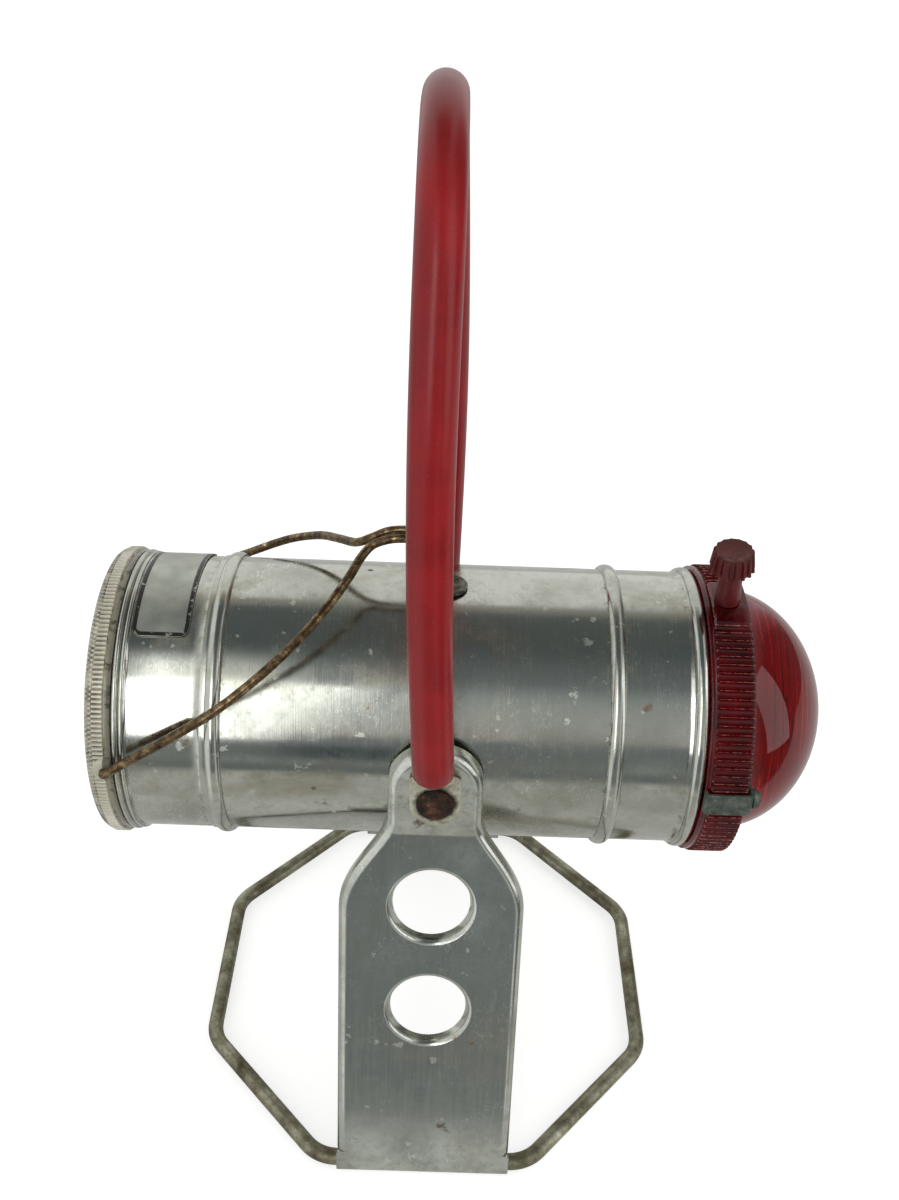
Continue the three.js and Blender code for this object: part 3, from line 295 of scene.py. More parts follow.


# Aluminium sheet, spun or drawn, once polished: bright but hazed by age, with fine lines along the
# way it was polished, light scratches, small dark pits and grime that keeps to the corners, which on
# the plates also carries painted shade round the handle's strap
def agedAluminium(name, look):
    material, add, shader, spot = newMaterial(name)
    sizes = ageMarks
    lines = add("Mapping", {"Vector": spot, "Scale": look["lines"]})
    brush = add("TexNoise", {"Vector": lines, "Scale": 1.0, "Detail": 3.0})
    haze, fine, patch, splash, stain = (
        add("TexNoise", {"Vector": spot, "Scale": 1000 / size, "Detail": detail, "Roughness": broken,
                         "Distortion": drawn})
        for size, detail, broken, drawn in (
            (look["hazeSize"], 8.0, 0.62, 0.0), (sizes["fine"], 6.0, 0.7, 0.0), (sizes["scratchPatch"], 2.0, 0.5, 0.0),
            (sizes["splash"], 5.0, 0.55, 0.0), (sizes["stain"], 7.0, 0.6, 0.8)))
    hazed = add("MapRange", (haze, 0.42, 0.68))
    clouded = add("MapRange", (fine, 0.5, 0.75))

    # Scratches are the thin lines where a stretched noise crosses its middle, kept in a few patches
    crossings = []
    for rotation, stretch in look["scratches"]:
        way = add("Mapping", {"Vector": spot, "Rotation": rotation, "Scale": stretch})
        field = add("TexNoise", {"Vector": way, "Scale": 1.0, "Detail": 2.0})
        apart = add("Math", (field, 0.5), operation="SUBTRACT")
        apart = add("Math", (apart,), operation="ABSOLUTE")
        crossings.append(add("MapRange", (apart, 0.0, 0.006, 1.0, 0.0)))
    scratched = add("Math", crossings, operation="MAXIMUM")
    patch = add("MapRange", (patch, 0.5, 0.62))
    scratched = add("Math", (scratched, patch), operation="MULTIPLY")

    pits = add("TexVoronoi", {"Vector": spot, "Scale": 1000 / look["pitApart"]})
    pitted = add("MapRange", (pits, 0.05, 0.075, 1.0, 0.0))
    few = add("SeparateColor", (pits.node.outputs["Color"],))
    few = add("Math", (few, 0.6), operation="GREATER_THAN")
    pitted = add("Math", (pitted, few), operation="MULTIPLY")

    # Dried drops leave pale rings about 4 mm across
    drops = add("TexVoronoi", {"Vector": spot, "Scale": 1000 / sizes["dropsApart"]})
    dropKinds = add("SeparateColor", (drops.node.outputs["Color"],)).node.outputs
    edge = add("Math", (drops, 0.17), operation="SUBTRACT")
    edge = add("Math", (edge,), operation="ABSOLUTE")
    edge = add("MapRange", (edge, 0.01, 0.035, 1.0, 0.0))
    dried = add("MapRange", (dropKinds[1], 0.62, 0.9))
    for mask in (edge, clouded):
        dried = add("Math", (dried, mask), operation="MULTIPLY")

    # Grime in the corners, and on the plates also painted shade round the handle's strap
    grimyAndShaded = add("MapRange", (fine, 0.46, 0.68))
    some = add("MapRange", (haze, 0.44, 0.6, 0.15, 1.0))
    for mask in (look["grimeAndShade"](add, spot), some):
        grimyAndShaded = add("Math", (grimyAndShaded, mask), operation="MULTIPLY")

    # Splashes that dried white, 2 to 5 mm long
    splash = add("MapRange", (splash, 0.655, 0.69, 0.0, 0.6))

    # A few brown spots 2 to 4 mm across, with ragged edges
    ragged = add("Math", (fine, -0.9, drops), operation="MULTIPLY_ADD")
    brown = add("MapRange", (ragged, -0.38, -0.27, 0.75, 0.0))
    rare = add("Math", (dropKinds[2], 0.88), operation="GREATER_THAN")
    brown = add("Math", (brown, rare), operation="MULTIPLY")

    # Hand stains are warmer and duller
    stain = add("MapRange", (stain, 0.52, 0.66, 0.0, look["stained"]))

    tint = colour(look["clean"])
    part = add("Math", (clouded, 0.75), operation="MULTIPLY")
    for mask, code in ((hazed, look["hazy"]), (part, look["hazy"]), (scratched, sizes["scratchTint"]),
                       (pitted, sizes["pitTint"]), (dried, sizes["driedTint"]), (grimyAndShaded, sizes["grimeAndShadeTint"]),
                       (splash, sizes["splashTint"]), (brown, sizes["brownTint"]), (stain, sizes["stainTint"])):
        tint = add("Mix", {0: mask, 6: tint, 7: colour(code)}, 2, data_type="RGBA")
    crust = dried
    for mask in (splash, brown):
        crust = add("Math", (crust, mask), operation="MAXIMUM")
    rough = add("MapRange", {0: hazed, 3: look["roughness"][0], 4: look["roughness"][1]})
    for mask, more in ((clouded, 0.1), (grimyAndShaded, 0.35), (crust, 0.3), (stain, 0.22)):
        rough = add("Math", (mask, more, rough), operation="MULTIPLY_ADD")
    hair = add("MapRange", (brush, 0.4, 0.65, -0.01, 0.03))
    rough = add("Math", (hair, rough), operation="ADD")
    bump = add("Bump", {"Height": brush, "Strength": look["brushed"], "Distance": 0.02 * mm})
    bump = add("Bump", {"Height": haze, "Strength": look["dented"], "Distance": 0.5 * mm, "Normal": bump})
    feed(shader, {"Base Color": tint, "Roughness": rough, "Normal": bump, "Metallic": 1.0})
    return material


# Grime against the beads and rims of the tube, each at mm along it and so many mm wide to each side
def tubeGrime(add, spot):
    first, last = -125, 85
    share = add("MapRange", (add("SeparateXYZ", (spot,)), first * mm, last * mm))
    stops = [(0.0, grey(0)), (1.0, grey(0))]
    for at, width in ((-117.4, 0.9), (-93.0, 1.2), (-84.9, 1.0), (47.1, 1.0), (53.2, 0.8), (75.4, 1.6)):
        stops += [((at + off - first) / (last - first), grey(level))
                  for off, level in ((-width, 0), (0, 1), (width, 0))]
    return add("ValToRGB", (share,), stops=stops)


# Grime and painted shade on the plates: darker low down, more grime round the rivet, and a dark line round the
# handle's strap, partly dirt and partly painted shade where the strap stands on the ear
def plateGrimeAndShade(add, spot):
    fromPivot = add("Mapping", {"Vector": spot, "Location": (-places["pivotX"] * mm, 0, -places["rivetZ"] * mm)})
    parts = add("SeparateXYZ", (fromPivot,)).node.outputs
    below = add("Math", (parts[2], 0.0), operation="MINIMUM")
    below = add("CombineXYZ", {0: parts[0], 2: below})
    away = add("VectorMath", (below,), "Value", operation="LENGTH")
    # A dark line round the strap's outline: partly dirt, partly painted shade at the strap's edge
    strap = add("MapRange", (away, 9.0 * mm, 10.6 * mm, 1.0, 0.0))
    upper = add("MapRange", (parts[2], -13 * mm, -10 * mm))
    strap = add("Math", (strap, upper), operation="MULTIPLY")
    height = add("SeparateXYZ", (spot,), 2)
    # Darker towards the bottom of the plate
    grimeAndShade = add("MapRange", (height, 1 * mm, 12 * mm, 0.8, 0.0))
    high = add("MapRange", (height, 150 * mm, 160 * mm, 0.0, 0.45))
    for mask in (high, strap):
        grimeAndShade = add("Math", (grimeAndShade, mask), operation="MAXIMUM")
    return grimeAndShade


# Steel with worn plating: dull, blotchy, with rust where the plating has gone. Its specks are 1.2 mm
# across, coarser than the real ones, which would be lost between two pixels
def wornSteel(name, look):
    material, add, shader, spot = newMaterial(name)
    broad = add("TexNoise", {"Vector": spot, "Scale": 1000 / look["blotch"], "Detail": 6.0, "Roughness": 0.7})
    fine = add("TexNoise", {"Vector": spot, "Scale": 1000 / 1.2, "Detail": 4.0})
    tint = add("ValToRGB", (broad,), stops=[(share, colour(code)) for share, code in look["stops"]])
    layers = [(add("MapRange", (fine, 0.55, 0.75, 0.0, 0.6)), look["speck"])]
    if "ring" in look:  # dirt collects round the pivot's head, with a ragged edge
        flat = add("VectorMath", (spot, (1, 0, 1)), operation="MULTIPLY")
        away = add("VectorMath", (flat, (places["pivotX"] * mm, 0, places["rivetZ"] * mm)), "Value",
                   operation="DISTANCE")
        ragged = add("Math", (broad, look["ragged"] * mm, away), operation="MULTIPLY_ADD")
        near, far = ((value + look["ragged"] / 2) * mm for value in look["ring"])
        layers.append((add("MapRange", (ragged, near, far, 0.95, 0.0)), look["ringDirt"]))
    for mask, code in layers:
        tint = add("Mix", {0: mask, 6: tint, 7: colour(code)}, 2, data_type="RGBA")
    rough = add("MapRange", (broad, 0.35, 0.65, *look["roughness"]))
    bump = add("Bump", {"Height": fine, "Strength": look["pitted"], "Distance": 0.15 * mm})
    feed(shader, {"Base Color": tint, "Roughness": rough, "Normal": bump, "Metallic": look["metallic"]})
    return material


# The tube: a soft mirror with faint rings round it from the polishing mop, warm where hands held it.
# The rings are 0.4 mm apart, coarser than real, so that they show at one pixel to 0.4 mm
tubeAluminium = agedAluminium("spunAluminium", {
    "clean": "#c4c6bd", "hazy": "#a4a79c", "roughness": (0.10, 0.27), "hazeSize": 34, "pitApart": 17,
    "stained": 0.6, "lines": (2600, 40, 40), "brushed": 0.3, "dented": 0.07, "grimeAndShade": tubeGrime,
    "scratches": (((0, 0, 0.5), (420, 90, 90)), ((0, 0.3, -0.7), (300, 70, 140))),
})
# The plates: whiter and flatter, with a soft grain up and down, coarser than real for the same reason
plateAluminium = agedAluminium("pressedAluminium", {
    "clean": "#cbcec6", "hazy": "#a9ada4", "roughness": (0.13, 0.27), "hazeSize": 22, "pitApart": 23,
    "stained": 0.35, "lines": (900, 60, 40), "brushed": 0.15, "dented": 0.1, "grimeAndShade": plateGrimeAndShade,
    "scratches": (((0, 0.8, 0), (260, 90, 60)), ((0, -0.6, 0), (200, 60, 120))),
})
# The base wire: grey-green and satin, with dark patches where the plating has gone
ringSteel = wornSteel("wornPlatedSteel", {
    "stops": ((0.3, "#4b4432"), (0.44, "#75715c"), (0.57, "#96957f"), (0.72, "#bcbcab")),
    "blotch": 13, "speck": "#54452f", "roughness": (0.52, 0.32), "pitted": 0.22, "metallic": 0.75,
})
# The hanging wire: brown, with pale straw-coloured patches painted in as glints
hangerSteel = wornSteel("brownedSteel", {
    "stops": ((0.3, "#2c2218"), (0.47, "#5a4833"), (0.6, "#8b7755"), (0.72, "#e2d3ab")),
    "blotch": 3.4, "speck": "#33271a", "roughness": (0.4, 0.22), "pitted": 0.25, "metallic": 0.9,
})
# The rivets: dark flaking rust with no shine
rivetSteel = wornSteel("rustedSteel", {
    "stops": ((0.34, "#150d08"), (0.48, "#3a2315"), (0.58, "#6a4029"), (0.7, "#a06f4c")),
    "blotch": 6, "speck": "#1d120c", "roughness": (0.85, 0.6), "pitted": 1.0, "metallic": 0.35,
})
# The handle's straps: pale and waxy, with a dark ring of dirt round the rivet
strapSteel = wornSteel("grimySteel", {
    "stops": ((0.3, "#8b836c"), (0.42, "#b7b4a0"), (0.6, "#d3d1c1"), (0.75, "#dedcd0")),
    "blotch": 8, "speck": "#6d5b42", "roughness": (0.46, 0.3), "pitted": 0.3, "metallic": 0.6,
    "ring": (6.2, 8.0), "ragged": 5, "ringDirt": "#2a1d12",
})
# The clip: dull dark grey with a green bloom
clipZinc = wornSteel("dullZinc", {
    "stops": ((0.3, "#383e36"), (0.48, "#525a52"), (0.62, "#6c7369"), (0.78, "#8b9184")),
    "blotch": 4, "speck": "#4f6a5c", "roughness": (0.65, 0.45), "pitted": 0.45, "metallic": 0.6,
})


# Moulded red acrylic: clear deep red with a gloss, dusty and rubbed pale on what stands proud, which
# is given as four distances from the tube's axis in mm: start, full, last and end. On the ring's rib
# crests this pale band is also a painted highlight.
def redAcrylic(name, look):
    material, add, shader, spot = newMaterial(name)
    radius = aroundLamp(add, spot)[1]
    dust = add("TexNoise", {"Vector": spot, "Scale": 1000 / 1.6, "Detail": 5.0, "Roughness": 0.7})
    broad = add("TexNoise", {"Vector": spot, "Scale": 1000 / 14, "Detail": 4.0})
    start, full, last, end = (value * mm for value in look["wearAndGlint"])
    # Pale band on what stands proud: wear, and on the ring's rib crests also a painted highlight
    wearAndGlint = add("MapRange", (radius, start, full))
    past = add("MapRange", (radius, last, end, 1.0, 0.0))
    rubbedAndGlint = add("MapRange", (dust, 0.36, 0.6))
    for mask in (past, rubbedAndGlint, look["wear"]):
        wearAndGlint = add("Math", (wearAndGlint, mask), operation="MULTIPLY")
    shade = add("MapRange", (broad, 0.35, 0.7))
    tint = colour(look["deep"])
    for mask, code in ((shade, look["light"]), (wearAndGlint, look["rubbedAndGlint"])):
        tint = add("Mix", {0: mask, 6: tint, 7: colour(code)}, 2, data_type="RGBA")
    rough = add("MapRange", (dust, 0.4, 0.75, *look["roughness"]))
    rough = add("Math", (wearAndGlint, 0.35, rough), operation="MULTIPLY_ADD")
    through = add("MapRange", {0: wearAndGlint, 3: look["clear"], 4: 0.0})
    feed(shader, {"Base Color": tint, "Roughness": rough, "Transmission Weight": through, "IOR": 1.49,
                  "Specular IOR Level": look["shine"]})
    return material


# The dome: deep red glass to the eye, its inner rings showing through
domeRed = redAcrylic("clearRedAcrylic", {
    "deep": "#8a0209", "light": "#a2060f", "rubbedAndGlint": "#b56a70", "wearAndGlint": (90, 92, 94, 95), "wear": 0.0,
    "roughness": (0.02, 0.06), "clear": 0.95, "shine": 0.34,
})
# The ring: darker, with the crests of its ribs rubbed to a dusty pink, a pale line that is also a painted highlight
# along each crest
ringRed = redAcrylic("ribbedRedAcrylic", {
    "deep": "#56040b", "light": "#820b15", "rubbedAndGlint": "#b08078", "wearAndGlint": (53.6, 53.95, 54.05, 54.3), "wear": 0.95,
    "roughness": (0.05, 0.16), "clear": 0.7, "shine": 0.5,
})
# The knob: opaque brown-red and dull, browner on its crown
knobRed = redAcrylic("dullRedPlastic", {
    "deep": "#4c0c0e", "light": "#601014", "rubbedAndGlint": "#48291f", "wearAndGlint": (75.2, 77.0, 90, 95), "wear": 0.9,
    "roughness": (0.32, 0.5), "clear": 0.0, "shine": 0.4,
})


# The clear cap: cloudy and yellow-grey at its rim, darker in the roots of its ribs, partly dirt and partly painted
# shade, and with painted shade in the plain band between its ribs and the tube
def cloudedPlastic(name):
    material, add, shader, spot = newMaterial(name)
    local, radius = aroundLamp(add, spot)
    cloud = add("TexNoise", {"Vector": spot, "Scale": 1000 / 5, "Detail": 6.0, "Roughness": 0.65})
    rim = add("MapRange", (radius, 48.0 * mm, 50.5 * mm))
    ribbed = add("MapRange", (radius, 51.2 * mm, 52.0 * mm))
    dusty = add("MapRange", (cloud, 0.3, 0.62))
    # Darker in the roots of the ribs: partly dirt, partly painted shade
    dirtAndShade = add("MapRange", (radius, 52.4 * mm, 53.35 * mm, 1.0, 0.0))
    for mask in (ribbed, dusty):
        dirtAndShade = add("Math", (dirtAndShade, mask), operation="MULTIPLY")
    # Darker in the plain band between the ribs and the tube: painted shade
    groove = add("MapRange", (add("SeparateXYZ", (local,)), -113.6 * mm, -113.2 * mm, 0.0, 0.75))
    groove = add("Math", (groove, rim), operation="MULTIPLY")
    dirtAndShade = add("Math", (dirtAndShade, groove), operation="MAXIMUM")
    through = add("MapRange", {0: rim, 3: 0.94, 4: 0.4})
    tint = add("ValToRGB", (cloud,), stops=[(0.3, colour("#e0dcc6")), (0.7, colour("#f6f2e3"))])
    tint = add("Mix", {0: dirtAndShade, 6: tint, 7: colour("#545040")}, 2, data_type="RGBA")
    rough = add("MapRange", (cloud, 0.35, 0.7, 0.06, 0.2))
    feed(shader, {"Base Color": tint, "Roughness": rough, "Transmission Weight": through, "IOR": 1.49})
    return material


clearPlastic = cloudedPlastic("cloudedClearPlastic")


# PVC tube over the handle: satin, slightly soft, scuffed, and pink-grey on top, partly faded where it was held and
# partly a painted sheen of the sky on its upward faces.
# Its grain is 0.8 mm across, coarser than real, so that it isn't lost between two pixels
def satinVinyl(name):
    material, add, shader, spot = newMaterial(name)
    height = add("SeparateXYZ", (spot,), 2)
    up = add("SeparateXYZ", (add("TexCoord", out="Normal"),), 2)
    broad = add("TexNoise", {"Vector": spot, "Scale": 1000 / 18, "Detail": 5.0})
    grain = add("TexNoise", {"Vector": spot, "Scale": 1000 / 0.8, "Detail": 3.0})
    # Pink-grey near the top of the arch where the sleeve faces up: partly fading, partly a painted sheen of the sky
    fadeAndSheen = add("MapRange", (height, 368 * mm, 388 * mm))
    upward = add("MapRange", (up, 0.0, 0.9))
    patchy = add("MapRange", (broad, 0.3, 0.65, 0.2, 0.62))
    for mask in (upward, patchy):
        fadeAndSheen = add("Math", (fadeAndSheen, mask), operation="MULTIPLY")
    scuff = add("MapRange", (grain, 0.6, 0.8, 0.0, 0.12))
    tint = add("ValToRGB", (broad,), stops=[(0.35, colour("#7f070d")), (0.65, colour("#920c14"))])
    for mask, code in ((scuff, "#b9757a"), (fadeAndSheen, "#48332f")):
        tint = add("Mix", {0: mask, 6: tint, 7: colour(code)}, 2, data_type="RGBA")
    rough = add("MapRange", (broad, 0.3, 0.7, 0.25, 0.36))
    bump = add("Bump", {"Height": grain, "Strength": 0.12, "Distance": 0.1 * mm})
    feed(shader, {"Base Color": tint, "Roughness": rough, "Normal": bump, "IOR": 1.53, "Specular IOR Level": 0.31})
    return material


redVinyl = satinVinyl("satinRedVinyl")


# The label plate: satin silver with a black line inside its edge, foxed and rubbed
def borderedPlate(name):
    material, add, shader, spot = newMaterial(name)
    inside = add("Attribute", out="Fac", attribute_name="fromEdge")
    wear = add("TexNoise", {"Vector": spot, "Scale": 1000 / 2.2, "Detail": 5.0})
    blotch = add("TexNoise", {"Vector": spot, "Scale": 1000 / 7, "Detail": 5.0})
    silver = add("ValToRGB", (blotch,), stops=[(0.35, colour("#a1a499")), (0.68, colour("#babdb1"))])
    line = add("ValToRGB", (inside,), stops=[(0.0, grey(0)), (1.0, grey(0)), (0.01, grey(1)), (0.14, grey(1)),
                                             (0.17, grey(0))])
    kept = add("MapRange", (wear, 0.34, 0.4))
    line = add("Math", (line, kept), operation="MULTIPLY")
    tint = add("Mix", {0: line, 6: silver, 7: colour("#15150f")}, 2, data_type="RGBA")
    metal = add("MapRange", {0: line, 3: 0.8, 4: 0.0})
    feed(shader, {"Base Color": tint, "Metallic": metal, "Roughness": 0.34})
    return material


labelSilver = borderedPlate("borderedLabelPlate")


# Inner pieces and the eyelet: plain stock with a slight mottle
def plainStock(name, dark, light, roughness, metallic=0.0, grain=3.0, clear=0.0):
    material, add, shader, spot = newMaterial(name)
    mottle = add("TexNoise", {"Vector": spot, "Scale": 1000 / grain, "Detail": 5.0})
    tint = add("ValToRGB", (mottle,), stops=[(0.35, colour(dark)), (0.65, colour(light))])
    bump = add("Bump", {"Height": mottle, "Strength": 0.15, "Distance": 0.1 * mm})
    feed(shader, {"Base Color": tint, "Normal": bump, "Roughness": roughness, "Metallic": metallic,
                  "Transmission Weight": clear})
    return material


mirrorAluminium = plainStock("spunReflector", "#d6d8d8", "#dfe0e0", 0.08, 1.0)  # a clean mirror
brass = plainStock("satinBrass", "#9c7a3e", "#b5934f", 0.35, 1.0)  # warm yellow, half dull
springSteel = plainStock("brightSpringSteel", "#8a8c8d", "#a4a6a7", 0.3, 1.0)  # cool grey with a shine
fibreBoard = plainStock("vulcanisedFibre", "#4e3527", "#614435", 0.75)  # red-brown board
strawBoard = plainStock("greyCardboard", "#857b62", "#958b72", 0.9)  # pale and quite matt
jacket = plainStock("batteryJacket", "#26344a", "#31425c", 0.55)  # printed card in dark blue
bulbGlass = plainStock("clearGlass", "#f4f4f2", "#ffffff", 0.03, clear=1.0)  # seen by its highlights only
plugBlack = plainStock("tarnishedEyelet", "#3a3a2f", "#7f8172", 0.3, 0.8, 2.5)  # near black, with glints
print("materials ready")


# Camera, fitted to the photograph

view = {"place": (-12.226, -367.407, 462.754), "lens": 37.243, "pitch": 34.621, "yaw": 0.590, "roll": 2.311}
pitch, yaw, roll = (math.radians(view[key]) for key in ("pitch", "yaw", "roll"))
ahead = Vector((math.sin(yaw) * math.cos(pitch), math.cos(yaw) * math.cos(pitch), -math.sin(pitch)))
level = Vector((math.cos(yaw), -math.sin(yaw), 0))
upright = level.cross(ahead)
right = math.cos(roll) * level + math.sin(roll) * upright
above = -math.sin(roll) * level + math.cos(roll) * upright
bpy.ops.object.camera_add()
camera = bpy.context.object
camera.matrix_world = (Matrix.Translation(Vector(view["place"]) * mm)
                       @ Matrix((right, above, -ahead)).transposed().to_4x4())
camera.data.lens = view["lens"]
camera.data.sensor_width = 36
camera.data.clip_start = 0.01
bpy.context.scene.camera = camera
bpy.context.scene.view_settings.view_transform = "Standard"

# The room as polished metal sees it. Bands and patches lie at degrees from straight up, towards the
# front; sides run from the left, 0, to the right, 1; edges are the X of a direction
room = {
    "skyForLight": 0.68, "sideEdge": (0.26, 0.46),
    "sides": ((0, 0.95), (0.27, 0.95), (0.36, 0.6), (0.66, 0.6), (0.73, 0.85), (0.79, 0.4), (0.85, 0.15),
              (1, 0.15)),
    "highWindow": {"edge": (-0.1, -0.22), "low": (16, 36), "high": (58, 66), "light": (1.9, 1.9, 1.86, 1)},
    "darkDoor": {"middle": -0.065, "edge": (0.1, 0.02), "low": (90, 98), "high": (103, 110),
                 "light": (0.06, 0.08, 0.09, 1)},
    "bands": (
        (-180, (0.75, 0.75, 0.73)), (-60, (0.92, 0.92, 0.90)), (-34.5, (0.86, 0.86, 0.84)),
        (-33, (0.34, 0.32, 0.29)), (-26, (0.29, 0.28, 0.26)), (-24.5, (0.12, 0.135, 0.14)),
        (10, (0.10, 0.118, 0.125)), (38, (0.19, 0.21, 0.225)), (52, (0.40, 0.43, 0.44)),
        (70, (0.52, 0.53, 0.53)), (84, (0.50, 0.47, 0.46)), (87, (0.19, 0.21, 0.23)),
        (103, (0.24, 0.26, 0.27)), (108, (0.30, 0.32, 0.32)), (113, (0.20, 0.22, 0.225)),
        (118, (0.13, 0.15, 0.155)), (121.5, (0.55, 0.55, 0.52)), (160, (0.5, 0.5, 0.48)),
        (180, (0.5, 0.5, 0.48)),
    ),
}


# Rays that show the backdrop as it is, from the camera or through clear plastic, and those that mirror it
def rayKinds(add):
    path = add("LightPath").node.outputs
    shown = add("Math", (path["Is Camera Ray"], path["Is Transmission Ray"]), operation="MAXIMUM")
    return shown, path["Is Glossy Ray"]


world = bpy.data.worlds.new("studio")
bpy.context.scene.world = world
world.use_nodes = True
add = partial(addNode, world.node_tree)
way = add("SeparateXYZ", (add("TexCoord", out="Generated"),)).node.outputs
forward = add("Math", (way[1], -1.0), operation="MULTIPLY")
tilt = add("Math", (forward, way[2]), operation="ARCTAN2")
share = add("MapRange", (tilt, -math.pi, math.pi))
seen = add("ValToRGB", (share,), stops=endsFirst([((angle + 180) / 360, [*rgb, 1]) for angle, rgb in room["bands"]]))
for patch in (room["highWindow"], room["darkDoor"]):
    cover = way[0]
    if "middle" in patch:
        cover = add("Math", (cover, patch["middle"]), operation="SUBTRACT")
        cover = add("Math", (cover,), operation="ABSOLUTE")
    cover = add("MapRange", (cover, *patch["edge"]), interpolation_type="SMOOTHSTEP")
    for (low, high), inwards in ((patch["low"], (0.0, 1.0)), (patch["high"], (1.0, 0.0))):
        part = add("MapRange", (tilt, math.radians(low), math.radians(high), *inwards),
                   interpolation_type="SMOOTHSTEP")
        cover = add("Math", (cover, part), operation="MULTIPLY")
    seen = add("Mix", {0: cover, 6: seen, 7: patch["light"]}, 2, data_type="RGBA")
sideways = add("Math", (way[0],), operation="ABSOLUTE")
sideways = add("MapRange", (sideways, *room["sideEdge"]), interpolation_type="SMOOTHSTEP")
rightward = add("MapRange", (way[0], -1.0, 1.0))
sides = add("ValToRGB", (rightward,), stops=endsFirst([(at, grey(shade)) for at, shade in room["sides"]]))
seen = add("Mix", {0: sideways, 6: seen, 7: sides}, 2, data_type="RGBA")
shown, mirrored = rayKinds(add)
sky = add("Mix", {0: mirrored, 6: grey(room["skyForLight"]), 7: seen}, 2, data_type="RGBA")
sky = add("Mix", {0: shown, 6: sky, 7: grey(1)}, 2, data_type="RGBA")
feed(world.node_tree.nodes["Background"], {"Color": sky})

# Window behind the camera to the left, and a weaker one to the right: place, size in metres, watts
lamps = {"windowLeft": ((-0.48, -1.6, 0.85), (0.48, 1.5), 5.3), "windowRight": ((1.38, -0.67, 0.72), (0.9, 1.9), 7.0)}
for name, (spot, size, power) in lamps.items():
    bpy.ops.object.light_add(type="AREA", location=spot)
    lamp = bpy.context.object
    lamp.name = name
    lamp.data.shape = "RECTANGLE"
    lamp.data.size, lamp.data.size_y = size
    lamp.data.energy = power
    lamp.rotation_euler = (Vector((0, 0, 0.15)) - Vector(spot)).to_track_quat("-Z", "Y").to_euler()

# Pale paper, in metres. Polished metal sees it only up to its fold in front of the lantern, and the
# room beyond that; "shown" and "mirrored" are the light it adds for the camera and for reflections
paper = {"front": -0.31, "far": 5.0, "half": 5.0, "drop": 0.0002, "fold": (-0.15, -0.12), "shown": 0.66,
         "mirrored": 0.12}
bpy.ops.mesh.primitive_grid_add(x_subdivisions=2, y_subdivisions=2, size=2)
floor = bpy.context.object
floor.name = "floor"
for vertex in floor.data.vertices:
    y = paper["front"] if vertex.co.y < 0 else paper["far"] * vertex.co.y
    vertex.co = (vertex.co.x * paper["half"], y, -paper["drop"])
floorPaper, add, shader, spot = newMaterial("palePaper")
shown, mirrored = rayKinds(add)
lift = add("Math", (shown, paper["shown"]), operation="MULTIPLY")
lift = add("Math", (mirrored, paper["mirrored"], lift), operation="MULTIPLY_ADD")
feed(shader, {"Base Color": (0.62, 0.62, 0.60, 1), "Roughness": 0.9, "Specular IOR Level": 0.1,
              "Emission Strength": lift, "Emission Color": grey(1)})
front = add("MapRange", (add("SeparateXYZ", (spot,), 1), *paper["fold"], 1.0, 0.0))
front = add("Math", (front, mirrored), operation="MULTIPLY")
surface = add("MixShader", (front, shader.outputs[0], add("BsdfTransparent")))
feed(floorPaper.node_tree.nodes["Material Output"], {"Surface": surface})
floor.data.materials.append(floorPaper)
print("camera, light and floor ready")


# Lamp tube; profiles are (x from the middle of the tube, radius) in mm

tube = {"radius": 50.8, "wall": 0.9, "clearEnd": -110.8, "redEnd": 92.2, "beads": (-76.7, 61.3),
        "beadHeight": 1.9, "beadWidth": 5.4, "plugX": 2, "plugHole": 5.3, "steps": 160}


def beadOn(at, width, height, base, steps):
    return [(at - width / 2 * math.cos(math.pi * i / steps), base + height * math.sin(math.pi * i / steps) ** 0.85)
            for i in range(steps + 1)]


radius, inner = tube["radius"], tube["radius"] - tube["wall"]
clearBead, redBead = (beadOn(at, tube["beadWidth"], tube["beadHeight"], radius, 12) for at in tube["beads"])
profile = [(tube["clearEnd"], inner), (tube["clearEnd"], 51.3)]
profile += beadOn(-109.72, 2.1, 1.25, 51.3, 8)
profile += beadOn(-107.55, 1.7, 0.75, 51.3, 6)[1:]
profile += [(-106.4, 51.1), (-106.1, 50.85), (-105.6, radius), (-95, radius), (-85, radius), (-82.0, radius),
            (-81.5, 50.95), (-81.1, 51.25), (-80.2, 51.35), (-79.6, 51.4)]
profile += clearBead[1:]
profile += [(x, radius) for x in (-73.4, -60, -30, 0, 30, 57.9)]
profile += redBead
profile += [(64.7, radius), (75, radius), (85.4, radius), (86.3, 50.9), (87.1, 51.2), (87.7, 51.3)]
profile += beadOn(90.0, 4.3, 1.35, 51.25, 12)
profile += [(tube["redEnd"], 51.0), (tube["redEnd"], inner)]
tubePiece = turned("tube", profile, tube["steps"])
plugPlace = lampPlace @ Matrix.Translation((tube["plugX"] * mm, 0, 0)) @ onEnd
bored(tubePiece, (-60, 60, places["pin"], pivotPlace @ toRear), (40, 60, tube["plugHole"], plugPlace))
finish(tubePiece, "lampTubeSkin", tubeAluminium, "lamp", "lamp_tube", 30)

plug = turned("plug", [(49.9, 0), (49.9, 5.0), (51.1, 5.0), (51.1, 6.6), (51.3, 7.05), (51.65, 7.15), (51.95, 6.8),
                       (52.0, 6.3), (51.8, 5.7), (51.45, 5.2), (51.2, 4.0), (51.15, 0)], 48, plugPlace)
finish(plug, "topEyelet", plugBlack, "lamp", "top_plug")
print("tube ready")

# Label plate: its outline is drawn flat, ring within ring, and laid on the tube's shoulder

label = {"outer": -105.9, "inner": -86.4, "front": 27.6, "back": 37.5, "corner": 3.2, "radius": 51.2, "thick": 0.4,
         "leastCorner": 0.4, "rings": (0, 0.35, 0.5, 1.5, 1.7, 3.2, 5, 7, 8.6)}


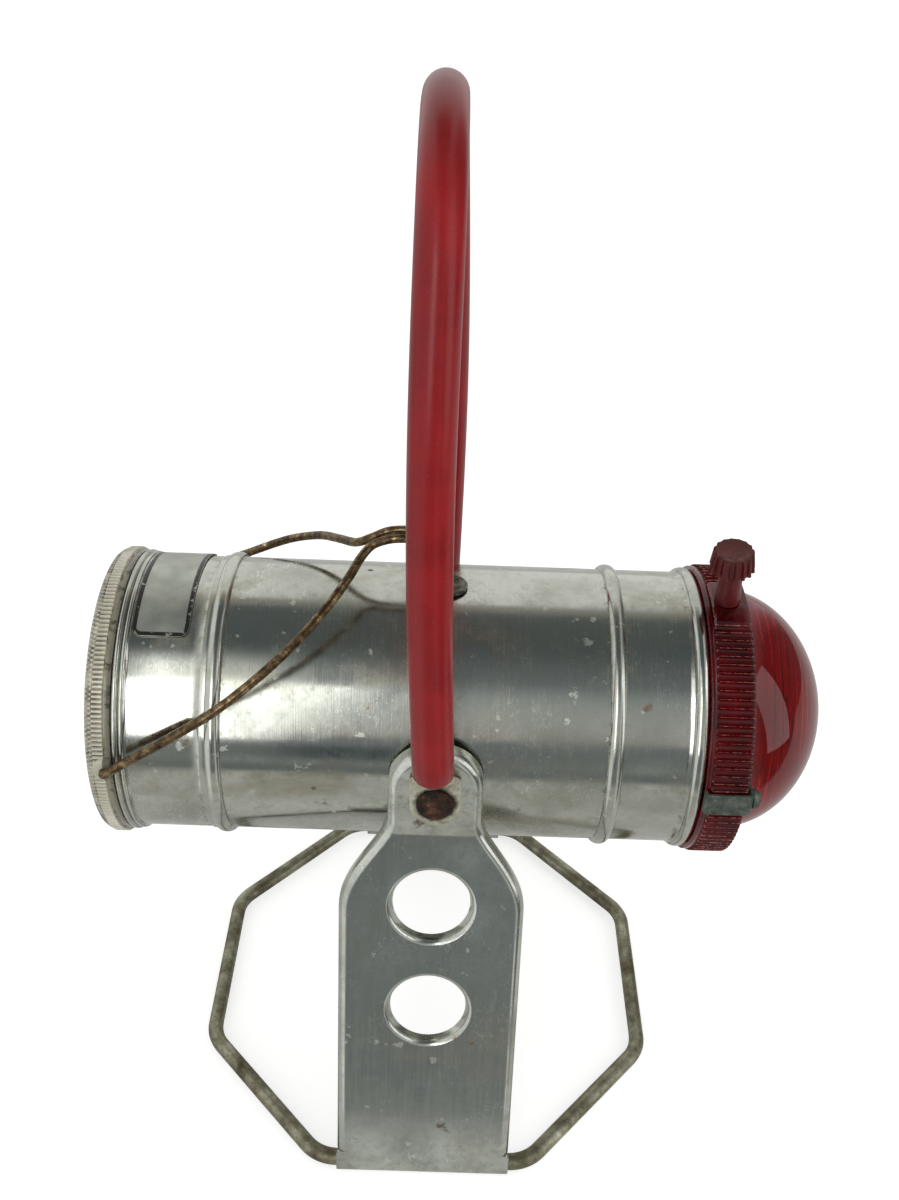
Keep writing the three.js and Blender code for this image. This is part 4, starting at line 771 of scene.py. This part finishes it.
def labelOutline(inset):
    halfX, halfY = (label["inner"] - label["outer"]) / 2 - inset, (label["front"] + label["back"]) / 2 - inset
    corner = max(label["corner"] - inset, label["leastCorner"])
    bends = [arc((cx * (halfX - corner), cy * (halfY - corner)), corner, first, first + 90, 6)
             for cx, cy, first in ((1, 1, 0), (-1, 1, 90), (-1, -1, 180), (1, -1, 270))]
    out = []
    for bend, after, spans in zip(bends, bends[1:] + bends[:1], (4, 10, 4, 10)):
        (x, y), (goalX, goalY) = bend[-1], after[0]
        out += bend + [(x + (goalX - x) * k / spans, y + (goalY - y) * k / spans) for k in range(1, spans)]
    return out


def onTube(x, y):
    angle = (y + (label["front"] - label["back"]) / 2) / label["radius"]
    return (x + (label["inner"] + label["outer"]) / 2, -math.sin(angle) * label["radius"],
            math.cos(angle) * label["radius"])


rows = [[onTube(*point) for point in labelOutline(inset)] for inset in label["rings"]]
labelPiece = skinned("label", rows, capped=False)
depths = labelPiece.data.attributes.new("fromEdge", "FLOAT", "POINT")  # in cm, for the black line
for vertex, value in zip(labelPiece.data.vertices, depths.data):
    spot = vertex.co / mm
    value.value = min((min(((spot - Vector(p)).length for p in row)), inset)
                      for row, inset in zip(rows, label["rings"]))[1] / 10
with editing(labelPiece) as mesh:
    mesh.select_all(action="DESELECT")
middle = {i for i, vertex in enumerate(labelPiece.data.vertices)
          if min((vertex.co / mm - Vector(p)).length for p in rows[-1]) < 0.01}
for edge in labelPiece.data.edges:
    edge.select = edge.vertices[0] in middle and edge.vertices[1] in middle
bpy.ops.object.mode_set(mode="EDIT")
bpy.ops.mesh.fill()
bpy.ops.object.mode_set(mode="OBJECT")
facing(labelPiece, lambda face: face.normal.z)
applied(labelPiece, "SOLIDIFY", thickness=label["thick"] * mm, offset=1)
labelPiece.data.transform(lampPlace)
finish(labelPiece, "labelPlateSkin", labelSilver, "lamp", "label_plate")
print("label ready")

# Clear lens cap

cap = {"ribs": 200, "perRib": 6, "crest": 53.5, "root": 52.45, "coneDepth": 0.85, "lensAt": 47.6, "lensBulge": 1.6}


def capRibs(x, radius, angle):
    share = (angle / turn * cap["ribs"]) % 1
    if -117.0 < x < -113.5 and radius > 52.3:  # rectangular ribs on the band
        return cap["root"] + (cap["crest"] - cap["root"]) * ease(0.5 - abs(share - 0.5), 0.08, 0.3)
    if -119.9 < x < -117.3 and radius >= 50.9:  # rounder ribs on the cone, half a pitch on
        share = (share + 0.5) % 1
        return radius - cap["coneDepth"] * (1 - ease(0.5 - abs(share - 0.5), 0.0, 0.42))
    return radius


profile = [(-111.1, 51.4), (-111.1, 52.0), (-111.25, 52.1), (-113.2, 52.1), (-113.38, 52.3), (-113.55, 53.3),
           (-113.7, 53.5), (-115.2, 53.5), (-116.7, 53.5), (-116.9, 53.3), (-117.1, 52.6), (-117.25, 52.5),
           (-117.4, 52.75), (-117.6, 52.95), (-118.3, 52.75), (-119.2, 52.1), (-119.7, 51.4), (-120.0, 50.7),
           (-120.2, 49.9), (-120.2, 49.0), (-120.0, 48.5), (-119.2, 48.2), (-117.9, 47.9)]
for x, radii in ((-117.8, (47.4, 42, 34, 24, 12, 0)), (-115.6, (0, 12, 24, 34, 42, 47.4))):  # the lens, out and in
    profile += [(x - cap["lensBulge"] * (1 - (r / cap["lensAt"]) ** 2), r) for r in radii]
profile += [(-115.4, 49.3), (-112.2, 49.3), (-112.2, 51.4)]
capPiece = turned("cap", profile, cap["ribs"] * cap["perRib"], reshape=capRibs)
lugs = []
for side in (0, math.pi):
    lug = turned("lug", [(51.6, 0), (51.6, 4.3), (53.6, 4.3), (54.1, 3.9), (54.1, 0)], 32,
                 Matrix.Rotation(side, 4, "Z") @ toFront)
    with editing(lug) as mesh:  # cut flat where it would stand past the cap
        mesh.bisect(plane_co=(2.1 * mm, 0, 0), plane_no=(1, 0, 0), clear_outer=True, use_fill=True)
    lug.data.transform(lampPlace @ Matrix.Translation(Vector((-113.2, 0, 6.3)) * mm))
    lugs.append(lug)
finish(join(capPiece, *lugs), "ribbedLensCap", clearPlastic, "lamp", "clear_lens_cap", 40)
print("lens cap ready")

# Red lens ring, with a plain pad under the knob, and dome

ring = {"ribs": 112, "perRib": 8, "crest": 54.0, "root": 52.75, "from": 94.55, "to": 107.45,
        "padAngle": math.radians(7.6), "padHalf": math.radians(11.6), "pad": 54.7}


def ringRibs(x, radius, angle):
    if radius < 52.2 or not ring["from"] - 0.01 <= x <= ring["to"] + 0.01:
        return radius
    lift = abs(2 * ((angle / turn * ring["ribs"]) % 1) - 1) ** 3.2
    ends = min(ease(x, ring["from"] - 0.2, ring["from"] + 0.5),
               1 - ease(x, ring["to"] - 0.5, ring["to"] + 0.3) * 0.75)
    ribbedTo = ring["root"] + (ring["crest"] - ring["root"]) * lift * ends
    padded = 1 - ease(abs(angle - ring["padAngle"]), ring["padHalf"] - 0.02, ring["padHalf"] + 0.02)
    padTo = ring["root"] + (ring["pad"] - ring["root"]) * ends
    return ribbedTo + (padTo - ribbedTo) * padded


profile = [(92.5, 51.4), (92.5, 53.05), (92.62, 53.25), (92.85, 53.35), (94.0, 53.35), (94.25, 53.25), (94.4, 52.9),
           (94.55, 52.7), (94.8, 53.5), (95.3, 54), (98, 54), (101, 54), (104, 54), (106.5, 54), (107.1, 53.7),
           (107.45, 53.2), (107.7, 52.6), (107.8, 51.9), (107.8, 46.1), (107.6, 45.85), (106.2, 45.8), (105.9, 45.9),
           (105.9, 49.8), (103.4, 49.8), (103.2, 48.8), (102.5, 48.8), (101.8, 49.8), (93.6, 49.8), (93.6, 51.4)]
ringPiece = turned("ring", profile, ring["ribs"] * ring["perRib"], reshape=ringRibs)
finish(ringPiece, "ribbedRedRing", ringRed, "lamp", "red_lens_ring", 38)

dome = {"centre": 104.2, "base": 105.6, "reach": 38.4, "radius": 45.5, "wall": 2.2, "flange": 49.5,
        "rings": 17, "ringDepth": 0.5, "rows": 56, "steps": 144}
tip = dome["centre"] + dome["reach"]
first = math.asin((dome["base"] - dome["centre"]) / dome["reach"])
profile = [(dome["centre"], dome["flange"]), (dome["base"], dome["flange"])]
for i in range(dome["rows"]):
    a = first + (math.pi / 2 - first) * i / dome["rows"]
    profile.append((dome["centre"] + dome["reach"] * math.sin(a), dome["radius"] * math.cos(a)))
profile += [(tip, 0), (tip - dome["wall"], 0)]
for i in range(dome["rings"] * 4 - 1, -1, -1):  # stepped rings moulded inside
    a = math.pi / 2 * i / (dome["rings"] * 4)
    inset = dome["wall"] + dome["ringDepth"] * (i % 4 < 2)
    profile.append((dome["centre"] + (dome["reach"] - inset) * math.sin(a), (dome["radius"] - inset) * math.cos(a)))
finish(turned("dome", profile, dome["steps"]), "redDomeShell", domeRed, "lamp", "red_dome_lens", 40)
print("red end ready")

# Clip and its screw: the strap's middle line as (x, y), and its section as (across, through)

clip = {"half": 4.4, "tipHalf": 3.9, "thick": 0.6, "edge": 0.4, "round": 0.3, "rise": 1.4}
line = [(93.1, -51.3), (93.1, -53.6), (93.25, -54.4), (93.7, -54.8), (94.4, -54.95), (97, -55.0), (101, -55.05),
        (105, -54.95), (107.7, -54.9), (108.3, -54.75), (108.65, -54.35), (108.75, -53.7), (108.75, -50),
        (108.75, -47.5)]
rows = []
for i, (x, y) in enumerate(line):
    along = heading(line, i)
    out = Vector((along.y, -along.x, 0))
    half = clip["tipHalf"] if i == len(line) - 1 else clip["half"]
    thick, edge, flat = clip["thick"], clip["edge"], half - clip["round"]
    section = [(-half, -edge), (-half, edge), (-flat, thick), (flat, thick), (half, edge), (half, -edge),
               (flat, -thick), (-flat, -thick)]
    rows.append([Vector((x, y, clip["rise"] + a)) + out * b for a, b in section])
clipPiece = skinned("clip", rows)
clipPiece.data.transform(lampPlace)
finish(clipPiece, "ringClipStrap", clipZinc, "lamp", "ring_clip", 30)
screw = turned("screw", [(101.8, 0), (101.8, 1.1), (109.6, 1.1), (109.6, 3.3), (109.8, 3.5), (110.8, 3.4),
                         (111.7, 2.9), (112.3, 2.0), (112.5, 0.9), (112.5, 0)], 40,
               lampPlace @ Matrix.Translation(Vector((0, -51.3, clip["rise"])) * mm))
finish(screw, "clipScrewHead", clipZinc, "lamp", "clip_screw")
print("clip ready")

# Switch knob

knob = {"foot": 14.8, "height": 8.0, "skirt": 7.9, "crown": 7.0, "flutes": 16, "perFlute": 10, "depth": 1.1,
        "at": (100.2, 0, 54.7), "round": 7.6, "lean": -4.3}
knobPlace = (lampPlace @ Matrix.Rotation(math.radians(knob["round"]), 4, "X")
             @ Matrix.Translation(Vector(knob["at"]) * mm) @ Matrix.Rotation(math.radians(knob["lean"]), 4, "Y"))


def knobRow(z, radius, depth=0):
    count = knob["flutes"] * knob["perFlute"]
    row = []
    for i in range(count):
        r = radius - depth * (1 - ease(abs((i / knob["perFlute"]) % 1 - 0.5), 0.3, 0.42))  # thin ribs, wide flats
        row.append((math.cos(turn * i / count) * r, math.sin(turn * i / count) * r, z))
    return row


foot, top = knob["foot"], knob["foot"] + knob["height"]
skirt, crown, depth = knob["skirt"], knob["crown"], knob["depth"]
rows = [knobRow(foot + 0.5, 3.6), knobRow(foot + 0.1, 4.0), knobRow(foot, 5.4),
        knobRow(foot, skirt - 0.4, depth * 0.7), knobRow(foot + 0.35, skirt, depth)]
rows += [knobRow(foot + 0.35 + (knob["height"] - 1.1) * s, skirt + (crown - skirt) * s, depth * (1 - 0.3 * s))
         for s in (0.25, 0.5, 0.75, 1)]
rows += [knobRow(top - 0.35, crown - 0.2, depth * 0.5), knobRow(top, crown - 0.8, 0.05),
         knobRow(top - 0.05, crown - 1.3), knobRow(top - 0.5, crown - 2.7), knobRow(top - 0.6, 1.2)]
knobHead = skinned("knobHead", rows)
knobHead.data.transform(knobPlace)
stem = turned("stem", [(-16.6, 0), (-16.6, 3), (0.3, 3), (0.3, 4.5), (0.9, 4.45), (foot + 0.6, 3.95),
                       (foot + 0.6, 0)], 48, knobPlace @ onEnd)
finish(join(knobHead, stem), "flutedKnob", knobRed, "switch", "switch_knob", 32)
print("knob ready")

# Stand plates: the front one is drawn flat with its crease at y = 0, then bent; "lip" is a hole's funnel

plate = {"ear": 16.4, "half": 33.3, "hemHalf": 33.4, "bend": 3.5, "earDepth": 6.6, "legDepth": 5.6, "sheet": 1.15,
         "flareTop": 5, "flareEnd": -32, "creaseDrop": 17.5, "arcRise": 3, "holes": (29.6, 74.3), "mouth": 16.6,
         "lip": ((16.6, 0), (16.1, 0.06), (15.6, 0.3), (15.1, 0.75), (14.7, 1.4), (14.4, 2.3), (14.15, 3.3),
                 (14.0, 4.2)),
         "creaseBend": 0.8, "hem": 4.5, "hemTurn": 230, "across": 90.8, "flangeStop": 7}
creaseZ = places["rivetZ"] - plate["creaseDrop"]
wireZ = plate["hem"]
splay, fall = plate["across"] - places["earFace"], creaseZ - wireZ
slope = math.atan(splay / fall) + math.asin(plate["hem"] / math.hypot(splay, fall))
legLength = math.sqrt(splay ** 2 + fall ** 2 - plate["hem"] ** 2)

stop = -legLength + plate["flangeStop"]
half, ear, bend = plate["half"], plate["ear"], plate["bend"]
outline = [(half, stop + (plate["flareEnd"] - stop) * i / 8) for i in range(8)]
outline += bezier((half, plate["flareEnd"]), (half, -16), (ear, -3), (ear, plate["flareTop"]), 18)
outline += [(ear, 10), (ear, 15)]
outline += arc((0, plate["creaseDrop"] + plate["arcRise"]), ear, 0, 90, 16)
outline += [(-x, y) for x, y in reversed(outline[:-1])]

rows = []
for i, (x, y) in enumerate(outline):
    along = heading(outline, i)
    depth = plate["legDepth"] + (plate["earDepth"] - plate["legDepth"]) * ease(y, -10, 5)
    row = []
    for a in (math.pi / 2 * k / 6 for k in range(7)):
        inset = bend + 0.01 - bend * math.sin(a)
        row.append((x - along.y * inset, y + along.x * inset, bend * (1 - math.cos(a))))
    rows.append(row + [(x, y, bend + (depth - bend) * k / 2) for k in (1, 2)])
rim = skinned("plateRim", rows, closed=False, capped=False)

foot = [(half - 0.4, stop - 0.4), (half + 0.2, stop - 1.2), (plate["hemHalf"], stop - 3),
        (plate["hemHalf"], -legLength)]
edge = [row[0][:2] for row in rows] + [(-x, y) for x, y in foot] + foot[::-1]
face = loop("plateFace", [(x, y, 0) for x, y in edge])
holeLoops, funnels = [], []
spots = [(math.cos(turn * i / 72), math.sin(turn * i / 72)) for i in range(72)]
for at in plate["holes"]:
    holeLoops.append(loop("hole", [(x * plate["mouth"], y * plate["mouth"] - at, 0) for x, y in spots]))
    funnels.append(skinned("funnel", [[(x * r, y * r - at, z) for x, y in spots] for r, z in plate["lip"]],
                           capped=False))
holeLoops.append(loop("hole", [(x * places["pin"], plate["creaseDrop"] + y * places["pin"], 0)
                               for x, y in spots[::3]]))
face = join(face, *holeLoops)
with editing(face) as mesh:
    mesh.fill(use_beauty=True)

platePiece = join(face, rim, *funnels)
with editing(platePiece) as mesh:
    mesh.remove_doubles(threshold=0.02 * mm)
    for k in range(7):  # cuts that let the sheet bend at the crease
        mesh.select_all(action="SELECT")
        mesh.bisect(plane_co=(0, (-1 + k / 3) * plate["creaseBend"] * mm, 0), plane_no=(0, 1, 0))


# Where a point of the flat plate lies once the sheet is bent; z is the depth behind its face
def bent(x, y, z):
    b = plate["creaseBend"]
    angle = slope * min(max((b - y) / (2 * b), 0), 1)
    reach = 2 * b / slope
    if y >= b:
        spot = Vector((0, y))
    else:
        spot = Vector((-reach * (1 - math.cos(angle)), b - reach * math.sin(angle)))
        if y < -b:
            spot += Vector((math.sin(slope), math.cos(slope))) * (y + b)
    spot += Vector((math.cos(angle), -math.sin(angle))) * z
    return Vector((x, -places["earFace"] + spot.x, creaseZ + spot.y))


for vertex in platePiece.data.vertices:
    vertex.co = bent(*(vertex.co / mm)) * mm
cleanUp(platePiece)
facing(platePiece, lambda face: -face.normal.y * face.area)
hemTurns = [slope] + [-math.radians(a) for a in range(0, plate["hemTurn"], 15)]
rows = [[(plate["hemHalf"] * (-1 + k / 4), -plate["across"] - math.cos(a) * wireZ, wireZ + math.sin(a) * wireZ)
         for k in range(9)] for a in hemTurns]
hem = skinned("hem", rows, closed=False, capped=False)
hemMiddle = Vector((0, -plate["across"], wireZ)) * mm
facing(hem, lambda face: (face.center - hemMiddle).dot(face.normal))
for piece in (platePiece, hem):
    applied(piece, "SOLIDIFY", thickness=plate["sheet"] * mm, offset=-1, use_even_offset=True)
platePiece = join(platePiece, hem)
platePiece.data.transform(standPlace)
pick(platePiece)
bpy.ops.object.shade_smooth_by_angle(angle=math.radians(30))
applied(platePiece, "WEIGHTED_NORMAL", keep_sharp=True, weight=60)
rearPlate = copyOf(platePiece, rearOf)
finish(platePiece, "frontStandPlate", plateAluminium, "stand", "front_stand_plate", 0)
finish(rearPlate, "rearStandPlate", plateAluminium, "stand", "rear_stand_plate", 0)
print("stand plates ready")

# Base ring: "front" and "side" are half the lengths of the octagon's sides

wireRing = {"front": 41, "side": 37.5, "bend": 16.5, "radius": 3.175}
across, bend = plate["across"], wireRing["bend"]
corners = [(wireRing["front"], across), (across, wireRing["side"])]
corners += [(x, -y) for x, y in reversed(corners)]
corners += [(-x, y) for x, y in reversed(corners)]
points = []
for i, corner in enumerate(corners):
    corner = Vector(corner)
    come = (corner - Vector(corners[i - 1])).normalized()
    leave = (Vector(corners[(i + 1) % 8]) - corner).normalized()
    angle = come.angle(leave)
    side = (leave - come * math.cos(angle)).normalized()
    start = corner - come * bend * math.tan(angle / 2)
    for a in (angle * k / 8 for k in range(9)):
        spot = start + come * math.sin(a) * bend + side * (1 - math.cos(a)) * bend
        points.append((spot.x + places["pivotX"], spot.y, wireZ))
ringWire = bentWire("baseRing", points, wireRing["radius"], 6, True)
finish(ringWire, "octagonBaseWire", ringSteel, "stand", "base_ring")

# Rivets and spacers, as (distance from the middle, radius)

pin = places["pin"]
rivet = turned("rivet", [(47.6, 0), (47.6, 3.8), (48.1, 4.8), (48.8, 5.0), (48.8, 3.2), (61.2, 3.2), (61.2, 6.2),
                         (61.35, 6.4), (61.8, 6.35), (62.4, 6.0), (63.0, 5.1), (63.4, 3.8), (63.55, 2.0), (63.6, 0)],
               48, pivotPlace @ toFront)
spacer = turned("spacer", [(51.1, pin), (51.1, 7.2), (51.3, 7.5), (56.5, 7.5), (56.7, 7.2), (56.7, pin)],
                48, pivotPlace @ toFront)
for piece, title, look, slot in ((rivet, "Rivet", rivetSteel, "rusty_steel"),
                                 (spacer, "Spacer", ringSteel, "plated_wire")):
    rear = copyOf(piece, rearOf)
    finish(piece, "frontPivot" + title, look, "stand", "front_pivot_" + title.lower())
    finish(rear, "rearPivot" + title, look, "stand", "rear_pivot_" + title.lower())
print("base ring and rivets ready")

# Handle: lengths from the rivets' height; its arch is one curve whose pull is set by the two shares

handle = {"spread": 66, "end": 6.9, "rise": 213.2, "bulge": 8.1, "legShare": 0.625, "topShare": 0.953, "points": 60,
          "twist": 2.1, "lean": 1.07, "frontEnd": 19, "rearEnd": 13.5, "sleeve": 6.95,
          "sleeveEnd": ((-0.5, 6.95), (-0.15, 6.8), (0.0, 6.5), (0.0, 5.4), (-0.3, 5.15), (-2.5, 5.1)),
          "rod": 4.75, "rodEnd": 18, "strapTop": 8.6, "strapHalf": 8.7, "strapThick": 2.4, "strapBottom": 9.8}
handlePlace = pivotPlace @ Matrix.Rotation(math.radians(-handle["lean"]), 4, "Y")
curve = bezier((0, handle["rise"]), (handle["spread"] * handle["topShare"], handle["rise"]),
               (handle["spread"] + handle["bulge"], handle["rise"] * handle["legShare"]),
               (handle["spread"], handle["end"]), handle["points"])


# The front leg's middle line, from the top of the arch down to a height above the rivet
def legDownTo(height):
    kept = [(out, up) for out, up in curve if up > height + 1]
    (outA, upA), (outB, upB) = kept[-1], next(point for point in curve if point[1] <= height + 1)
    kept.append((outA + (outB - outA) * (height - upA) / (upB - upA), height))
    return [Vector((-handle["twist"] * out / handle["spread"] * math.sin(math.pi * up / handle["rise"]), -out, up))
            for out, up in kept]


def archBetween(rearHeight, frontHeight):
    return halfTurned(reversed(legDownTo(rearHeight)[1:])) + legDownTo(frontHeight)


# A ring of points round a centre: round at square 0, nearly a rectangle at 1
def crossRing(centre, along, half, thick, square, count=32):
    across = Vector((1, 0, 0))
    outward = across.cross(along).normalized()
    power = 1 - 0.78 * square
    points = []
    for a in (turn * (i + 0.5) / count for i in range(count)):
        c, s = math.cos(a), math.sin(a)
        points.append(centre + across * math.copysign(abs(c) ** power, c) * half
                      + outward * math.copysign(abs(s) ** power, s) * thick)
    return points


arch = archBetween(handle["rearEnd"], handle["frontEnd"])
firstAlong, lastAlong = (arch[0] - arch[1]).normalized(), (arch[-1] - arch[-2]).normalized()
rows = [crossRing(arch[0] + firstAlong * off, -firstAlong, r, r, 0, 40) for off, r in handle["sleeveEnd"][::-1]]
rows += [crossRing(arch[i], heading(arch, i), handle["sleeve"], handle["sleeve"], 0, 40)
         for i in range(1, len(arch) - 1)]
rows += [crossRing(arch[-1] + lastAlong * off, lastAlong, r, r, 0, 40) for off, r in handle["sleeveEnd"]]
sleevePiece = skinned("sleeve", rows)
sleevePiece.data.transform(handlePlace)
finish(sleevePiece, "vinylSleeve", redVinyl, "handle", "handle_sleeve", 50)

arch = archBetween(handle["rodEnd"], handle["rodEnd"])
strapY = -places["earFace"] - places["gap"] - handle["strapThick"] / 2
down = Vector((0, 0, -1))
rod, strapHalf, strapThick = handle["rod"], handle["strapHalf"], handle["strapThick"] / 2
frontRows = [crossRing(arch[i], heading(arch, i), rod, rod, 0) for i in range(len(arch) // 2, len(arch) - 1)]
begin = arch[-1]
for share in (k / 16 for k in range(1, 17)):  # the rod flattens and steps in to the strap
    moved, wide = ease(share, 0.0, 1.0), ease(share, 0.1, 1.0)
    centre = Vector((begin.x * (1 - share), begin.y + (strapY - begin.y) * moved,
                     begin.z + (handle["strapTop"] - begin.z) * share))
    frontRows.append(crossRing(centre, down, rod + (strapHalf - rod) * wide, rod + (strapThick - rod) * moved, moved))
lowCentre = strapHalf - handle["strapBottom"]
ends = [(z, strapHalf) for z in (4, 1.5, lowCentre)]  # then it ends in half a circle
ends += [(lowCentre - math.sin(a) * strapHalf, strapHalf * math.cos(a))
         for a in map(math.radians, (12, 24, 36, 48, 60, 70, 79, 86))]
frontRows += [crossRing(Vector((0, strapY, z)), down, half, strapThick, 1) for z, half in ends]
matched = []
for row in map(halfTurned, frontRows[:0:-1]):  # the rear rows run the other way round: line up their points
    count = len(row)
    matched.append([row[(count // 2 - 1 - i) % count] for i in range(count)])
rodPiece = skinned("rod", matched + frontRows)
bored(rodPiece, (-80, 80, places["pin"], toRear))
rodPiece.data.transform(handlePlace)
finish(rodPiece, "handleRodAndStraps", strapSteel, "handle", "handle_rod", 40)
print("handle ready")

# Hanging wire: each arm as (share of the reach, share of the spread)

hanger = {"radius": 1.6, "hinge": (-113.2, 6.3), "spread": 56, "reach": 104.6, "angle": 35.3, "neck": 2.8,
          "straight": 9.4, "level": 21, "tip": 4.8, "bend": 6,
          "near": ((0.1, 0.99), (0.215, 0.992), (0.33, 0.985), (0.472, 0.955), (0.638, 0.84), (0.783, 0.66),
                   (0.888, 0.46), (0.955, 0.27), (0.99, 0.13)),
          "far": ((0.1, 0.985), (0.215, 0.965), (0.33, 0.91), (0.431, 0.84), (0.563, 0.747), (0.643, 0.675),
                  (0.724, 0.575), (0.804, 0.45), (0.885, 0.275), (0.963, 0.105))}
rise, neck, spread = math.radians(hanger["angle"]), hanger["neck"], hanger["spread"]


def onArm(along, y):
    return Vector((hanger["hinge"][0] + math.cos(rise) * along, y, hanger["hinge"][1] + math.sin(rise) * along))


straightEnd = hanger["reach"] + hanger["straight"]
elbow = onArm(straightEnd, -neck)
bendStart, bendEnd = onArm(straightEnd - hanger["bend"], -neck), elbow + Vector((hanger["bend"], 0, 0))
end = elbow.x + hanger["level"] - neck


# One arm, from its tip in the lug to the loop for the hook
def armLine(shares):
    arm = [Vector((hanger["hinge"][0], hanger["tip"] - spread, hanger["hinge"][1])),
           onArm(0, -spread + 1.4), onArm(0.5, -spread + 0.2), onArm(2.6, -spread)]
    arm += [onArm(along * hanger["reach"], -out * spread) for along, out in shares]
    arm += [bendStart, elbow * 0.5 + (bendStart + bendEnd) * 0.25, bendEnd, Vector((end, -neck, elbow.z))]
    return arm + [Vector((end + math.sin(a) * neck, -math.cos(a) * neck, elbow.z))
                  for a in (math.radians(30), math.radians(60))]


whole = armLine(hanger["near"]) + [Vector((end + neck, 0, elbow.z))]
whole += [Vector((p.x, -p.y, p.z)) for p in reversed(armLine(hanger["far"]))]
hangerPiece = bentWire("hanger", smoothLine(whole, 7), hanger["radius"], 4)
hangerPiece.data.transform(lampPlace)
finish(hangerPiece, "hangingWire", hangerSteel, "hanger", "hanger_wire")
print("hanging wire ready")

# Reflector and bulbs behind the lenses

dish = [(-74.9 - 37 * (r / 47.5) ** 2, r) for r in (7.5, 10, 13, 17, 21, 26, 31, 36, 41, 45, 47.5)]
profile = [(-69.9, 7.5)] + dish + [(-111.9, 51.1), (-111.1, 51.1)]
profile += [(x + 0.8, r + 0.4) for x, r in reversed(dish[1:])] + [(-74.1, 8.3), (-69.9, 8.3)]
dish = turned("dish", profile, 96)
finish(dish, "beamReflectorDish", mirrorAluminium, "lamp", "beam_reflector")
bulb = {"length": 14.5, "ball": 5.6, "neck": 4.5}
for name, node, side in (("beamBulbGlass", "beam_bulb_glass", -1), ("flasherBulbGlass", "flasher_bulb_glass", 1)):
    low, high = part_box(node)
    foot = (high.x if side < 0 else low.x) / mm - places["pivotX"]
    ball = [(foot + side * (bulb["length"] - bulb["ball"] + bulb["ball"] * math.cos(a)), bulb["ball"] * math.sin(a))
            for a in (math.radians(125 - 125 * i / 20) for i in range(20))]
    profile = [(foot, 0), (foot, bulb["neck"])] + ball + [(foot + side * bulb["length"], 0)]
    finish(turned("bulb", profile, 40), name, bulbGlass, "lamp", node)

for look, nodes in (
    (fibreBoard, ("beam_bulb_socket", "contact_board", "flasher_bulb_socket")),
    (brass, ("beam_bulb_base", "centre_contact", "corner_contact", "flasher_bulb_base", "switch_blade",
             "switch_cam")),
    (springSteel, ("battery_centre_terminal", "battery_corner_terminal", "battery_bow_spring")),
    (jacket, ("battery",)), (strawBoard, ("battery_liner",)), (mirrorAluminium, ("flasher_plate",)),
):
    for node in nodes:
        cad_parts[node].data.materials.clear()
        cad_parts[node].data.materials.append(look)
print("inner pieces ready")

bpy.ops.object.select_all(action="DESELECT")
